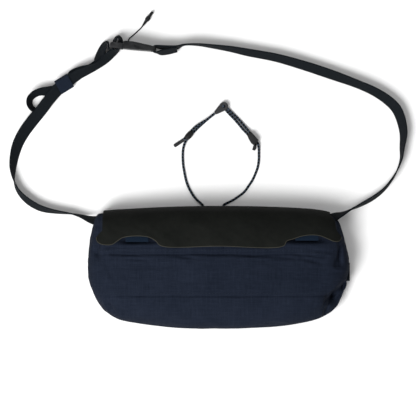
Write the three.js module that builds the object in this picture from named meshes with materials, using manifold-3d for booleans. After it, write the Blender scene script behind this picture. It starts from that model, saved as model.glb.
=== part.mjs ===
// A handlebar bag that lies on its back, with its strap and its elastic cords laid out above it.
// Millimetres. +X is the bag's right as it is looked down on, +Y its top, +Z up from the floor.
// The origin is the middle of the flat back panel, on the floor.
import * as THREE from 'three';
import { mergeVertices } from 'three/addons/utils/BufferGeometryUtils.js';
import Module from 'manifold-3d';

const wasm = await Module();
wasm.setup();

// Sizes of the bag
const BAG_WIDTH = 299;
const BAG_HEIGHT = 141;
const BAG_DEPTH = 62;
const SHELL_WALL = 2;
const PANEL_THICK = 2.5;
const GAP = 0.3; // between pieces that touch or are sewn together
const FLOOR_GAP = 0.1; // below the small pieces and the strap's lower edge
const FLAP_THICK = 1.5;
const FLAP_FOOT = 9; // height of the seam that holds the flap
const ZIP_WIDTH = 9;
const ZIP_LENGTH = 220;
const LOOP_WIDTH = 26;
const LOOP_DEPTH = 20;
const LOOP_THICK = 2;
const SIDE_TAB_LENGTH = 21;
const SIDE_TAB_REACH = 3.6;
const SIDE_TAB_THICK = 1.8;
const CORD_TAB_WIDTH = 32;
const CORD_TAB_REACH = 5;
const CORD_TAB_THICK = 2.6;

// Sizes of the strap and its buckle
const STRAP_WIDTH = 15;
const STRAP_THICK = 1.3;
const STRAP_REACH = 108; // from the bag's left corner to the loop's left end
const STRAP_RISE = 202; // from the bag's left corner to the buckle
const BUCKLE_TURN = -5.9; // degrees that the buckle leans from the bag's width
const BUCKLE_RAIL = 2.4; // plastic on each side of a slot
const SLOT_CLEARANCE = 0.6;
const LADDER_LENGTH = 14.7;
const LADDER_THICK = 6.2;
const BODY_LENGTH = 38;
const BODY_THICK = 8.6;
const SLOT_WIDTH = 3.7;
const PIN_RADIUS = 1.3;
const PIN_DEPTH = 1.5;
const KEEPER_LENGTH = 17;
const KEEPER_WALL = 1.2;
const KEEPER_PLAY = 0.8; // room at each edge of the strap

// Sizes of the cords and what is on them
const CORD_DIAMETER = 2.5;
const PULL_DIAMETER = 1.3;
const BEAD_LENGTH = 12;
const BEAD_DIAMETER = 7.4;
const LOCK_LENGTH = 15;
const LOCK_WIDTH = 8.4;
const LOCK_HEIGHT = 7.4;
const HOOK_THICK = 5.6;
const HOOK_RADIUS = 5;
const HOOK_LENGTH = 10.8; // from the eye to the narrow end
const HOOK_TIP_RADIUS = 2.4;
const EYE_RADIUS = 1.9;
const CAP_LENGTH = 12;
const CAP_DIAMETER = 3.6;
const LOCK_CAP_LENGTH = 6;
const TAB_LENGTH = 20;
const TAB_DIAMETER = 5.4;

const HALF_WIDTH = BAG_WIDTH / 2;
const HALF_HEIGHT = BAG_HEIGHT / 2;
const UP = new THREE.Vector3(0, 0, 1);
const FAR = 400; // reach of the blocks that only cut

// Colours and finishes
const fabric = new THREE.MeshStandardMaterial({ color: 0x232936, roughness: 0.85, metalness: 0 });
const facing = new THREE.MeshStandardMaterial({ color: 0x1c1e1a, roughness: 0.7, metalness: 0 });
const webbing = new THREE.MeshStandardMaterial({ color: 0x1b212b, roughness: 0.8, metalness: 0 });
const brightWebbing = new THREE.MeshStandardMaterial({ color: 0x23365a, roughness: 0.8, metalness: 0 });
const plastic = new THREE.MeshStandardMaterial({ color: 0x24252a, roughness: 0.5, metalness: 0 });
const elastic = new THREE.MeshStandardMaterial({ color: 0x222a3a, roughness: 0.9, metalness: 0 });

// Solids and meshes

function solidOf(geometry) {
  const bare = geometry.clone();
  bare.deleteAttribute('normal');
  bare.deleteAttribute('uv');
  const merged = mergeVertices(bare, 1e-4);
  return new wasm.Manifold(new wasm.Mesh({
    numProp: 3,
    vertProperties: Float32Array.from(merged.attributes.position.array),
    triVerts: Uint32Array.from(merged.index.array),
  }));
}

function geometryOf(solid) {
  const mesh = solid.getMesh();
  const geometry = new THREE.BufferGeometry();
  geometry.setAttribute('position', new THREE.BufferAttribute(mesh.vertProperties, 3));
  geometry.setIndex(new THREE.BufferAttribute(mesh.triVerts, 1));
  geometry.computeVertexNormals();
  return geometry;
}

function meshOf(points, faces) {
  const geometry = new THREE.BufferGeometry().setFromPoints(points);
  geometry.setIndex(faces);
  geometry.computeVertexNormals();
  return geometry;
}

function block(low, high) {
  const box = new THREE.BoxGeometry(high[0] - low[0], high[1] - low[1], high[2] - low[2]);
  box.translate((low[0] + high[0]) / 2, (low[1] + high[1]) / 2, (low[2] + high[2]) / 2);
  return solidOf(box);
}

function extrusion(shape, from, to, curveSegments = 6) {
  const options = { depth: to - from, bevelEnabled: false, curveSegments };
  const geometry = new THREE.ExtrudeGeometry(shape, options);
  return geometry.translate(0, 0, from);
}

function shapeOf(points) {
  return new THREE.Shape(points.map(([x, y]) => new THREE.Vector2(x, y)));
}

function smooth(share) {
  const s = THREE.MathUtils.clamp(share, 0, 1);
  return s * s * (3 - 2 * s);
}

// A value between the rows of a table, on a smooth curve, where place is the row and its fraction
function between(values, place) {
  const last = values.length - 1;
  const row = Math.min(Math.floor(place), last - 1);
  const f = place - row;
  const [a, b, c, d] = [-1, 0, 1, 2].map((k) => values[THREE.MathUtils.clamp(row + k, 0, last)]);
  return 0.5 * (2 * b + (c - a) * f + (2 * a - 5 * b + 4 * c - d) * f * f
    + (3 * b - a - 3 * c + d) * f * f * f);
}

// The bag's body

// Outline as looked down on. x is a share of the half width, top and low of the half height.
const OUTLINE = [
  { x: -1.000, top: 0.02, low: 0.02 },
  { x: -0.990, top: 0.40, low: -0.24 },
  { x: -0.966, top: 0.61, low: -0.36 },
  { x: -0.931, top: 0.79, low: -0.53 },
  { x: -0.877, top: 0.885, low: -0.68 },
  { x: -0.755, top: 0.94, low: -0.83 },
  { x: -0.510, top: 0.974, low: -0.925 },
  { x: -0.203, top: 0.992, low: -0.978 },
  { x: 0.165, top: 0.994, low: -0.982 },
  { x: 0.500, top: 0.98, low: -0.935 },
  { x: 0.730, top: 0.94, low: -0.82 },
  { x: 0.860, top: 0.87, low: -0.69 },
  { x: 0.915, top: 0.74, low: -0.57 },
  { x: 0.955, top: 0.50, low: -0.40 },
  { x: 0.985, top: 0.25, low: -0.20 },
  { x: 1.000, top: 0.02, low: 0.02 },
];

// Rows from the widest line up to the crown. Reach is a share of the way from the crown's
// ridge out to the outline, height a share of the crown's height there.
const FRONT_ROWS = [
  { topReach: 1.000, topHeight: 0.30, lowReach: 1.000, lowHeight: 0.30 },
  { topReach: 0.988, topHeight: 0.46, lowReach: 0.985, lowHeight: 0.44 },
  { topReach: 0.950, topHeight: 0.62, lowReach: 0.940, lowHeight: 0.60 },
  { topReach: 0.875, topHeight: 0.77, lowReach: 0.860, lowHeight: 0.75 },
  { topReach: 0.750, topHeight: 0.88, lowReach: 0.740, lowHeight: 0.865 },
  { topReach: 0.600, topHeight: 0.945, lowReach: 0.600, lowHeight: 0.94 },
  { topReach: 0.440, topHeight: 0.98, lowReach: 0.480, lowHeight: 0.975 },
  { topReach: 0.310, topHeight: 0.985, lowReach: 0.460, lowHeight: 0.977 },
  { topReach: 0.245, topHeight: 0.988, lowReach: 0.425, lowHeight: 0.980 },
  { topReach: 0.180, topHeight: 0.992, lowReach: 0.390, lowHeight: 0.984 },
];
// Rows from the widest line down to the edge of the flat back
const BACK_ROWS = [
  { reach: 0.985, height: 0.16 },
  { reach: 0.945, height: 0.06 },
  { reach: 0.880, height: 0 },
];
const RIDGE = 0.72; // length of the crown's ridge, a share of the width
const RIDGE_FALL = 0.13; // how much lower the ridge is at its ends
const COLUMNS = 34;

// Dents from one point to another: the crease below the flap, the low seam, and the folds at
// the ends. x, y and reach are shares of the half width and half height, depth of the depth.
const DENTS = [
  { x1: -0.80, y1: 0.243, x2: 0.70, y2: 0.240, reach: 0.045, depth: 0.035 },
  { x1: -0.84, y1: -0.415, x2: 0.78, y2: -0.415, reach: 0.030, depth: 0.020 },
  { x1: 0.96, y1: -0.27, x2: 0.84, y2: -0.47, reach: 0.10, depth: 0.10 },
  { x1: 0.84, y1: -0.47, x2: 0.79, y2: -0.64, reach: 0.09, depth: 0.06 },
  { x1: 0.91, y1: 0.30, x2: 0.905, y2: 0.08, reach: 0.08, depth: 0.06 },
  { x1: -0.93, y1: 0.28, x2: -0.90, y2: 0.22, reach: 0.09, depth: 0.05 },
  { x1: -0.82, y1: -0.55, x2: -0.80, y2: -0.68, reach: 0.08, depth: 0.04 },
];

function dentAt(x, y) {
  let depth = 0;
  for (const dent of DENTS) {
    const a = new THREE.Vector2(dent.x1 * HALF_WIDTH, dent.y1 * HALF_HEIGHT);
    const b = new THREE.Vector2(dent.x2 * HALF_WIDTH, dent.y2 * HALF_HEIGHT);
    const line = b.clone().sub(a);
    const from = new THREE.Vector2(x, y).sub(a);
    const along = THREE.MathUtils.clamp(from.dot(line) / line.lengthSq(), 0, 1);
    const away = from.sub(line.multiplyScalar(along)).length() / (dent.reach * HALF_HEIGHT);
    depth += dent.depth * BAG_DEPTH * Math.exp(-away * away);
  }
  return depth;
}

// The outline's height above or below the middle at a column, by the turn of its end
function outlineAt(turn, side) {
  const turns = OUTLINE.map((row) => Math.acos(-row.x));
  let row = 0;
  while (row < turns.length - 2 && turns[row + 1] < turn) row += 1;
  const place = row + (turn - turns[row]) / (turns[row + 1] - turns[row]);
  return between(OUTLINE.map((one) => one[side]), place) * HALF_HEIGHT;
}

// One station of the outline: its place, the foot on the ridge that its rows lead to, and how
// much it belongs to the top
function stationAt(column, side) {
  const turn = (Math.PI * column) / COLUMNS;
  const x = -Math.cos(turn);
  const sign = side === 'top' ? 1 : -1;
  const topShare = 0.5 + 0.5 * sign * Math.min(1, Math.sin(turn) / 0.42);
  return {
    x: x * HALF_WIDTH,
    y: outlineAt(turn, side),
    foot: x * RIDGE * HALF_WIDTH,
    crown: BAG_DEPTH * (1 - RIDGE_FALL * x * x),
    topShare,
    column,
  };
}

const STATIONS = [];
for (let column = 0; column <= COLUMNS; column += 1) STATIONS.push(stationAt(column, 'top'));
for (let column = COLUMNS - 1; column > 0; column -= 1) STATIONS.push(stationAt(column, 'low'));

function frontPoint(station, row) {
  const { lerp } = THREE.MathUtils;
  const reach = lerp(row.lowReach, row.topReach, station.topShare);
  const height = lerp(row.lowHeight, row.topHeight, station.topShare);
  const x = lerp(station.foot, station.x, reach);
  const y = station.y * reach;
  const inside = smooth((1 - reach) / 0.05);
  return new THREE.Vector3(x, y, station.crown * height - inside * dentAt(x, y));
}

// The bag's outer skin, closed, or a copy of it moved out by a distance that may change over it
function skin(outBy = () => 0) {
  const points = [];
  const faces = [];
  const ring = STATIONS.length;
  const rows = [];
  for (const row of [...BACK_ROWS].reverse()) {
    rows.push(STATIONS.map((s) => new THREE.Vector3(
      THREE.MathUtils.lerp(s.foot, s.x, row.reach), s.y * row.reach, s.crown * row.height)));
  }
  for (const row of FRONT_ROWS) rows.push(STATIONS.map((s) => frontPoint(s, row)));
  for (const row of rows) points.push(...row);
  const backRidge = points.length;
  for (let column = 0; column <= COLUMNS; column += 1) {
    points.push(new THREE.Vector3(STATIONS[column].foot, 0, 0));
  }
  const frontRidge = points.length;
  for (let column = 0; column <= COLUMNS; column += 1) {
    const { foot, crown } = STATIONS[column];
    points.push(new THREE.Vector3(foot, 0, crown - dentAt(foot, 0)));
  }
  for (let row = 0; row + 1 < rows.length; row += 1) {
    for (let k = 0; k < ring; k += 1) {
      const next = (k + 1) % ring;
      const [a, b] = [row * ring + k, row * ring + next];
      faces.push(a, b + ring, b, a, a + ring, b + ring);
    }
  }
  const top = (rows.length - 1) * ring;
  for (let k = 0; k < ring; k += 1) {
    const next = (k + 1) % ring;
    const here = STATIONS[k].column;
    const there = STATIONS[next].column;
    faces.push(top + k, frontRidge + there, top + next);
    faces.push(k, next, backRidge + there);
    faces.push(top + k, frontRidge + here, frontRidge + there);
    faces.push(k, backRidge + there, backRidge + here);
  }
  const geometry = meshOf(points, faces);
  const { position, normal } = geometry.attributes;
  points.forEach((point, k) => {
    const out = new THREE.Vector3().fromBufferAttribute(normal, k);
    position.setXYZ(k, ...point.addScaledVector(out, outBy(point)).toArray());
  });
  return geometry;
}

const outer = solidOf(skin());
const inner = solidOf(skin(() => -SHELL_WALL));
const clear = solidOf(skin(() => GAP));
const wall = outer.subtract(inner);

// The slot under the flap that the zip closes
const ZIP_CENTRE = 0.81 * HALF_HEIGHT;
const ZIP_BASE = 0.4 * BAG_DEPTH;
function zipBlock(margin) {
  return block(
    [-ZIP_LENGTH / 2 + margin, ZIP_CENTRE - ZIP_WIDTH / 2 + margin, ZIP_BASE],
    [ZIP_LENGTH / 2 - margin, ZIP_CENTRE + ZIP_WIDTH / 2 - margin, FAR]);
}

function bagShell() {
  const above = block([-FAR, -FAR, PANEL_THICK + GAP], [FAR, FAR, FAR]);
  return wall.intersect(above).subtract(zipBlock(0));
}

function backPanel() {
  return outer.intersect(block([-FAR, -FAR, -1], [FAR, FAR, PANEL_THICK]));
}

function zip() {
  return wall.intersect(zipBlock(GAP));
}

// The flap hugs the top seam and stands off the front by the thickness of the webbing loops
const FLAP_STAND_OFF = LOOP_THICK + 2 * GAP;
const FLAP_TURN = { from: 0.98, to: 0.86 }; // shares of the half height
function flapGap(point) {
  const down = (FLAP_TURN.from - point.y / HALF_HEIGHT) / (FLAP_TURN.from - FLAP_TURN.to);
  return GAP + (FLAP_STAND_OFF - GAP) * smooth(down);
}

// Flap's lower outline from its left side to its right, as shares of the half width and height
const FLAP_EDGE = [
  { x: -0.877, y: 0.600 },
  { x: -0.905, y: 0.545 },
  { x: -0.921, y: 0.500 },
  { x: -0.918, y: 0.440 },
  { x: -0.895, y: 0.400 },
  { x: -0.860, y: 0.382 },
  { x: -0.805, y: 0.386 },
  { x: -0.765, y: 0.440 },
  { x: -0.725, y: 0.495 },
  { x: -0.660, y: 0.520 },
  { x: -0.580, y: 0.522 },
  { x: -0.520, y: 0.502 },
  { x: -0.470, y: 0.440 },
  { x: -0.435, y: 0.368 },
  { x: 0.000, y: 0.362 },
  { x: 0.485, y: 0.365 },
  { x: 0.508, y: 0.440 },
  { x: 0.560, y: 0.478 },
  { x: 0.625, y: 0.522 },
  { x: 0.700, y: 0.540 },
  { x: 0.770, y: 0.522 },
  { x: 0.830, y: 0.470 },
  { x: 0.872, y: 0.436 },
  { x: 0.912, y: 0.445 },
  { x: 0.926, y: 0.500 },
  { x: 0.902, y: 0.600 },
  { x: 0.892, y: 0.760 },
  { x: 0.860, y: 0.860 },
];

function flap() {
  const edge = FLAP_EDGE.map(({ x, y }) => [x * HALF_WIDTH, y * HALF_HEIGHT]);
  const outline = shapeOf([...edge, [edge.at(-1)[0], FAR], [edge[0][0], FAR]]);
  const sheet = solidOf(skin((p) => flapGap(p) + FLAP_THICK)).subtract(solidOf(skin(flapGap)));
  return sheet.intersect(solidOf(extrusion(outline, FLAP_FOOT, FAR)));
}

// Flat webbing loops whose folded ends show in the flap's two cut-outs
const LOOP_PLACES = [
  { name: 'webbing_loop_left', x: -0.614, low: 0.42 },
  { name: 'webbing_loop_right', x: 0.663, low: 0.44 },
];

function webbingLoop({ x, low }) {
  const sheet = solidOf(skin(() => GAP + LOOP_THICK)).subtract(clear);
  const centre = x * HALF_WIDTH;
  const bottom = low * HALF_HEIGHT;
  return sheet.intersect(block(
    [centre - LOOP_WIDTH / 2, bottom, BAG_DEPTH / 2],
    [centre + LOOP_WIDTH / 2, bottom + LOOP_DEPTH, FAR]));
}

const SEAM_HEIGHT = 0.28 * BAG_DEPTH;
function sideTab() {
  const root = HALF_WIDTH - 2 * SIDE_TAB_REACH;
  const low = -0.20 * HALF_HEIGHT;
  const bar = block(
    [root, low, SEAM_HEIGHT - SIDE_TAB_THICK],
    [HALF_WIDTH - SHELL_WALL + SIDE_TAB_REACH, low + SIDE_TAB_LENGTH, SEAM_HEIGHT]);
  return bar.subtract(clear);
}

// A tab in the back's top seam that holds the ends of the elastic cords
const CORD_TAB_X = -0.032 * HALF_WIDTH;
const CORD_TAB_END = 0.985 * HALF_HEIGHT;
function cordTab() {
  const bar = block(
    [CORD_TAB_X - CORD_TAB_WIDTH / 2, CORD_TAB_END - 3 * CORD_TAB_REACH, GAP],
    [CORD_TAB_X + CORD_TAB_WIDTH / 2, CORD_TAB_END, GAP + CORD_TAB_THICK]);
  return bar.subtract(clear);
}

// The strap

// How high the middle of a strap is that leans by a roll and rests on its lower edge
function restHeight(roll) {
  return (STRAP_WIDTH * Math.abs(Math.sin(roll)) + STRAP_THICK * Math.abs(Math.cos(roll))) / 2;
}

// A strap laid through rows of a centre line. Roll is the lean of its face from lying flat, in
// degrees, and lift how far its lower edge is above the floor.
function route(rows) {
  const flat = rows.map(({ x, y }) => new THREE.Vector3(x, y, 0));
  const line = new THREE.CatmullRomCurve3(flat, false, 'centripetal');
  const rolls = rows.map(({ roll }) => roll);
  const lifts = rows.map(({ lift }) => lift ?? 0);
  const last = rows.length - 1;
  const centreAt = (place) => {
    const roll = THREE.MathUtils.degToRad(between(rolls, place));
    const point = line.getPoint(place / last);
    point.z = FLOOR_GAP + restHeight(roll) + between(lifts, place);
    return { point, roll };
  };
  const frameAt = (place) => {
    const { point, roll } = centreAt(place);
    const step = 0.02;
    const ahead = centreAt(Math.min(place + step, last)).point;
    const along = ahead.sub(centreAt(Math.max(place - step, 0)).point).normalize();
    const side = UP.clone().cross(along).normalize();
    const rise = along.clone().cross(side);
    const across = side.multiplyScalar(Math.cos(roll)).addScaledVector(rise, Math.sin(roll));
    return { point, roll, along, across, face: along.clone().cross(across) };
  };
  return { last, frameAt };
}

function ribbon(path, stepsPerRow = 3) {
  const corners = [];
  const faces = [];
  const count = path.last * stepsPerRow;
  for (let k = 0; k <= count; k += 1) {
    const { point, across, face } = path.frameAt(k / stepsPerRow);
    for (const [a, f] of [[1, 1], [-1, 1], [-1, -1], [1, -1]]) {
      const corner = point.clone().addScaledVector(across, (a * STRAP_WIDTH) / 2);
      corners.push(corner.addScaledVector(face, (f * STRAP_THICK) / 2));
    }
  }
  for (let k = 0; k < count; k += 1) {
    for (let side = 0; side < 4; side += 1) {
      const [a, b] = [k * 4 + side, k * 4 + ((side + 1) % 4)];
      faces.push(a, b, b + 4, a, b + 4, a + 4);
    }
  }
  const end = count * 4;
  faces.push(0, 2, 1, 0, 3, 2, end, end + 1, end + 2, end, end + 2, end + 3);
  return meshOf(corners, faces);
}

// Where the strap is sewn to the bag's two top corners
const LEFT_CORNER = { x: -0.887 * HALF_WIDTH, y: 0.745 * HALF_HEIGHT };
const RIGHT_CORNER = { x: 0.886 * HALF_WIDTH, y: 0.80 * HALF_HEIGHT };
const CORNER_LIFT = 0.30 * BAG_DEPTH;

// The buckle stands on its edge. Its frame starts at the ladder's free end.
const BUCKLE_HEIGHT = STRAP_WIDTH + 2 * SLOT_CLEARANCE + 2 * BUCKLE_RAIL;
const BUCKLE_LIFT = (BUCKLE_HEIGHT - STRAP_WIDTH) / 2;
const BUCKLE_START = {
  x: LEFT_CORNER.x + 0.078 * STRAP_REACH,
  y: LEFT_CORNER.y + STRAP_RISE,
};
const BUCKLE_ANGLE = THREE.MathUtils.degToRad(BUCKLE_TURN);

function fromBuckle(u, v) {
  return {
    x: BUCKLE_START.x + u * Math.cos(BUCKLE_ANGLE) - v * Math.sin(BUCKLE_ANGLE),
    y: BUCKLE_START.y + u * Math.sin(BUCKLE_ANGLE) + v * Math.cos(BUCKLE_ANGLE),
  };
}

const FRONT_SLOT = 0.74 * LADDER_LENGTH; // middle of the slot that the strap comes up through
const REAR_SLOT = 0.31 * LADDER_LENGTH; // middle of the slot that its end goes down through

// From the left corner to the keeper: x a share of the reach, y of the rise
const LEFT_ROUTE = [
  { x: 0.000, y: 0.000, roll: 38, lift: 1.00 },
  { x: -0.080, y: 0.005, roll: 54, lift: 0.62 },
  { x: -0.150, y: 0.014, roll: 67, lift: 0.27 },
  { x: -0.225, y: 0.026, roll: 79, lift: 0.06 },
  { x: -0.340, y: 0.042, roll: 90, lift: 0 },
  { x: -0.490, y: 0.053, roll: 97, lift: 0 },
  { x: -0.660, y: 0.073, roll: 111, lift: 0 },
  { x: -0.800, y: 0.115, roll: 115, lift: 0 },
  { x: -0.905, y: 0.171, roll: 100, lift: 0 },
  { x: -0.957, y: 0.228, roll: 88, lift: 0 },
  { x: -0.972, y: 0.300, roll: 72, lift: 0 },
  { x: -0.953, y: 0.372, roll: 53, lift: 0 },
  { x: -0.918, y: 0.440, roll: 41, lift: 0 },
  { x: -0.862, y: 0.508, roll: 33, lift: 0 },
  { x: -0.770, y: 0.575, roll: 28, lift: 0 },
  { x: -0.668, y: 0.643, roll: 28, lift: 0.07 },
  { x: -0.608, y: 0.683, roll: 28, lift: 0.15 },
];

// From the keeper to the buckle, in the buckle's frame: u and v are shares of the ladder's length
const LEFT_ROUTE_END = [
  { u: -3.73, v: -3.85, roll: 28, lift: 0.22 },
  { u: -2.84, v: -2.96, roll: 28, lift: 0.22 },
  { u: -2.25, v: -2.55, roll: 34, lift: 0.19 },
  { u: -1.62, v: -2.25, roll: 48, lift: 0.15 },
  { u: -0.93, v: -1.86, roll: 64, lift: 0.14 },
  { u: -0.14, v: -1.28, roll: 78, lift: 0.16 },
  { u: 0.40, v: -0.68, roll: 88, lift: 0.16 },
  { u: 0.67, v: -0.32, roll: 90, lift: 0.16 },
  { u: 0.74, v: -0.04, roll: 90, lift: 0.16 },
];
const KEEPER_ROW = LEFT_ROUTE.length + 0.5; // the keeper's middle, between the end's first rows

const leftRoute = route([
  ...LEFT_ROUTE.map(({ x, y, roll, lift }) => ({
    x: LEFT_CORNER.x + x * STRAP_REACH,
    y: LEFT_CORNER.y + y * STRAP_RISE,
    roll,
    lift: lift * CORNER_LIFT,
  })),
  ...LEFT_ROUTE_END.map(({ u, v, roll, lift }) => ({
    ...fromBuckle(u * LADDER_LENGTH, v * LADDER_LENGTH),
    roll,
    lift: lift * CORNER_LIFT,
  })),
]);

function strapLeft() {
  return solidOf(ribbon(leftRoute)).subtract(clear);
}

// The strap's free end: up through the ladder, over its bar, down again, then back under the
// strap to the keeper and out into a loop
const LAYER_GAP = 0.5;
const LAYER_STEP = STRAP_THICK + LAYER_GAP;

const TAIL_ROUTE = [
  { u: 0.74, v: -0.018, roll: 90, lift: 0.16 },
  { u: 0.775, v: 0.28, roll: 90, lift: 0.16 },
  { u: 0.76, v: 0.54, roll: 90, lift: 0.16 },
  { u: 0.56, v: 0.72, roll: 90, lift: 0.16 },
  { u: 0.36, v: 0.54, roll: 90, lift: 0.16 },
  { u: 0.325, v: 0.28, roll: 90, lift: 0.16 },
  { u: 0.31, v: 0.00, roll: 90, lift: 0.16 },
  { u: 0.295, v: -0.18, roll: 90, lift: 0.16 },
  { u: 0.24, v: -0.31, roll: 90, lift: 0.16 },
  { u: 0.12, v: -0.37, roll: 90, lift: 0.16 },
  { u: -0.04, v: -0.31, roll: 90, lift: 0.16 },
  { u: -0.12, v: -0.14, roll: 90, lift: 0.16 },
  { u: -0.15, v: 0.08, roll: 91, lift: 0.16 },
  { u: -0.24, v: 0.20, roll: 94, lift: 0.16 },
  { u: -0.35, v: 0.08, roll: 103, lift: 0.16 },
  { u: -0.57, v: -0.36, roll: 114, lift: 0.16 },
  { u: -0.88, v: -0.92, roll: 118, lift: 0.15 },
  { u: -1.16, v: -1.36, roll: 120, lift: 0.14 },
  { u: -1.52, v: -1.74, roll: 128, lift: 0.11 },
  { u: -2.04, v: -2.10, roll: 138, lift: 0.10 },
  { u: -2.56, v: -2.58, roll: 149, lift: 0.10 },
];
// From the keeper's far end: x and y are shares of the keeper's length
const TAIL_LOOP = [
  { x: -0.24, y: -0.13, roll: 150, lift: 0.10 },
  { x: -0.60, y: -0.12, roll: 142, lift: 0.06 },
  { x: -1.08, y: -0.10, roll: 126, lift: 0.02 },
  { x: -1.55, y: -0.28, roll: 117, lift: 0 },
  { x: -1.88, y: -0.61, roll: 112, lift: 0 },
  { x: -1.93, y: -0.98, roll: 108, lift: 0 },
  { x: -1.72, y: -1.24, roll: 104, lift: 0 },
];

// The free end lies under the strap as both pass through the keeper
function tailInKeeper(along) {
  const { point, roll, face } = leftRoute.frameAt(KEEPER_ROW + along);
  const under = point.clone().addScaledVector(face, -LAYER_STEP);
  const lift = under.z - restHeight(roll) - FLOOR_GAP;
  return { x: under.x, y: under.y, roll: 180 - THREE.MathUtils.radToDeg(roll), lift };
}

function tailRoute() {
  const inKeeper = [0.55, 0.25, 0, -0.25, -0.5].map(tailInKeeper);
  const end = inKeeper.at(-1);
  return route([
    ...TAIL_ROUTE.map(({ u, v, roll, lift }) => ({
      ...fromBuckle(u * LADDER_LENGTH, v * LADDER_LENGTH),
      roll,
      lift: lift * CORNER_LIFT,
    })),
    ...inKeeper,
    ...TAIL_LOOP.map(({ x, y, roll, lift }) => ({
      x: end.x + x * KEEPER_LENGTH,
      y: end.y + y * KEEPER_LENGTH,
      roll,
      lift: lift * CORNER_LIFT,
    })),
  ]);
}

function keeper() {
  const { point, along, across, face } = leftRoute.frameAt(KEEPER_ROW);
  const middle = point.clone().addScaledVector(face, -LAYER_STEP / 2);
  const place = new THREE.Matrix4().makeBasis(along, across, face).setPosition(middle);
  const width = STRAP_WIDTH + 2 * KEEPER_PLAY;
  const height = 2 * STRAP_THICK + 3 * LAYER_GAP;
  const band = (long, margin) => solidOf(
    new THREE.BoxGeometry(long, width + 2 * margin, height + 2 * margin).applyMatrix4(place));
  return band(KEEPER_LENGTH, KEEPER_WALL).subtract(band(2 * KEEPER_LENGTH, 0));
}

// The right side of the strap, between the buckle's far end and the bag's right corner, as
// shares of the way between them
const RIGHT_ROUTE = [
  { x: 0.156, y: -0.029, roll: 90, lift: 0.15 },
  { x: 0.229, y: -0.036, roll: 87, lift: 0.10 },
  { x: 0.314, y: -0.026, roll: 80, lift: 0.05 },
  { x: 0.415, y: -0.011, roll: 70, lift: 0 },
  { x: 0.517, y: 0.010, roll: 61, lift: 0 },
  { x: 0.670, y: 0.040, roll: 57, lift: 0 },
  { x: 0.821, y: 0.086, roll: 51, lift: 0 },
  { x: 0.972, y: 0.138, roll: 48, lift: 0 },
  { x: 1.126, y: 0.199, roll: 57, lift: 0 },
  { x: 1.227, y: 0.245, roll: 56, lift: 0 },
  { x: 1.306, y: 0.296, roll: 52, lift: 0 },
  { x: 1.352, y: 0.343, roll: 51, lift: 0 },
  { x: 1.377, y: 0.400, roll: 53, lift: 0 },
  { x: 1.391, y: 0.495, roll: 60, lift: 0 },
  { x: 1.386, y: 0.584, roll: 75, lift: 0 },
  { x: 1.376, y: 0.649, roll: 87, lift: 0 },
  { x: 1.342, y: 0.737, roll: 96, lift: 0 },
  { x: 1.284, y: 0.822, roll: 102, lift: 0 },
  { x: 1.222, y: 0.879, roll: 107, lift: 0 },
  { x: 1.160, y: 0.918, roll: 105, lift: 0.02 },
  { x: 1.092, y: 0.956, roll: 91, lift: 0.30 },
  { x: 1.053, y: 0.975, roll: 78, lift: 0.62 },
  { x: 1.019, y: 0.988, roll: 67, lift: 0.88 },
  { x: 0.985, y: 0.999, roll: 56, lift: 1.02 },
];

// The strap's sewn fold round the buckle's far bar, in the buckle's frame: u from the bar's
// outer face and v from its middle, as shares of the body's thickness
const FOLD_ROUTE = [
  { u: 2.75, v: 0.42, roll: 106 },
  { u: 1.60, v: 0.02, roll: 106 },
  { u: 0.70, v: -0.28, roll: 100 },
  { u: 0.15, v: -0.37, roll: 92 },
  { u: -0.20, v: -0.36, roll: 90 },
  { u: -0.46, v: -0.20, roll: 90 },
  { u: -0.52, v: 0.00, roll: 90 },
  { u: -0.46, v: 0.20, roll: 90 },
  { u: -0.20, v: 0.34, roll: 90 },
  { u: 0.25, v: 0.36, roll: 90 },
  { u: 1.60, v: 0.54, roll: 90 },
  { u: 2.75, v: 0.76, roll: 90 },
];
const BODY_START = LADDER_LENGTH + GAP;
const BODY_END = BODY_START + BODY_LENGTH;
const BAR_THICK = 0.3 * BODY_THICK; // the far bar
const BAR_LENGTH = 0.28 * BODY_THICK;
const BAR_MIDDLE = 0.08 * BODY_THICK; // off the buckle's middle line
const FAR_END = fromBuckle(BODY_END, BAR_MIDDLE);

function strapRight() {
  const rightRoute = route([
    ...FOLD_ROUTE.map(({ u, v, roll }) => ({
      ...fromBuckle(BODY_END + u * BODY_THICK, BAR_MIDDLE + v * BODY_THICK),
      roll,
      lift: BUCKLE_LIFT,
    })),
    ...RIGHT_ROUTE.map(({ x, y, roll, lift }) => ({
      x: FAR_END.x + x * (RIGHT_CORNER.x - FAR_END.x),
      y: FAR_END.y + y * (RIGHT_CORNER.y - FAR_END.y),
      roll,
      lift: lift * CORNER_LIFT,
    })),
  ]);
  return solidOf(ribbon(rightRoute)).subtract(clear);
}

// The buckle

const buckleFrame = new THREE.Matrix4().makeRotationZ(BUCKLE_ANGLE)
  .setPosition(BUCKLE_START.x, BUCKLE_START.y, 0);

// Rounds a buckle piece's corners as seen on its broad face
function broadFace(from, to, radius) {
  const [low, high] = [0, BUCKLE_HEIGHT];
  const shape = new THREE.Shape();
  shape.moveTo(from + radius, low);
  shape.lineTo(to - radius, low);
  shape.absarc(to - radius, low + radius, radius, -Math.PI / 2, 0);
  shape.lineTo(to, high - radius);
  shape.absarc(to - radius, high - radius, radius, 0, Math.PI / 2);
  shape.lineTo(from + radius, high);
  shape.absarc(from + radius, high - radius, radius, Math.PI / 2, Math.PI);
  shape.lineTo(from, low + radius);
  shape.absarc(from + radius, low + radius, radius, Math.PI, 1.5 * Math.PI);
  const across = new THREE.Matrix4().makeRotationX(Math.PI / 2);
  return solidOf(extrusion(shape, -BODY_THICK, BODY_THICK, 3).applyMatrix4(across));
}

function slot(from, to) {
  const low = [from, -BODY_THICK, BUCKLE_RAIL];
  return block(low, [to, BODY_THICK, BUCKLE_HEIGHT - BUCKLE_RAIL]);
}

function placed(solid, frame) {
  return geometryOf(solid).applyMatrix4(frame);
}

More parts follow.
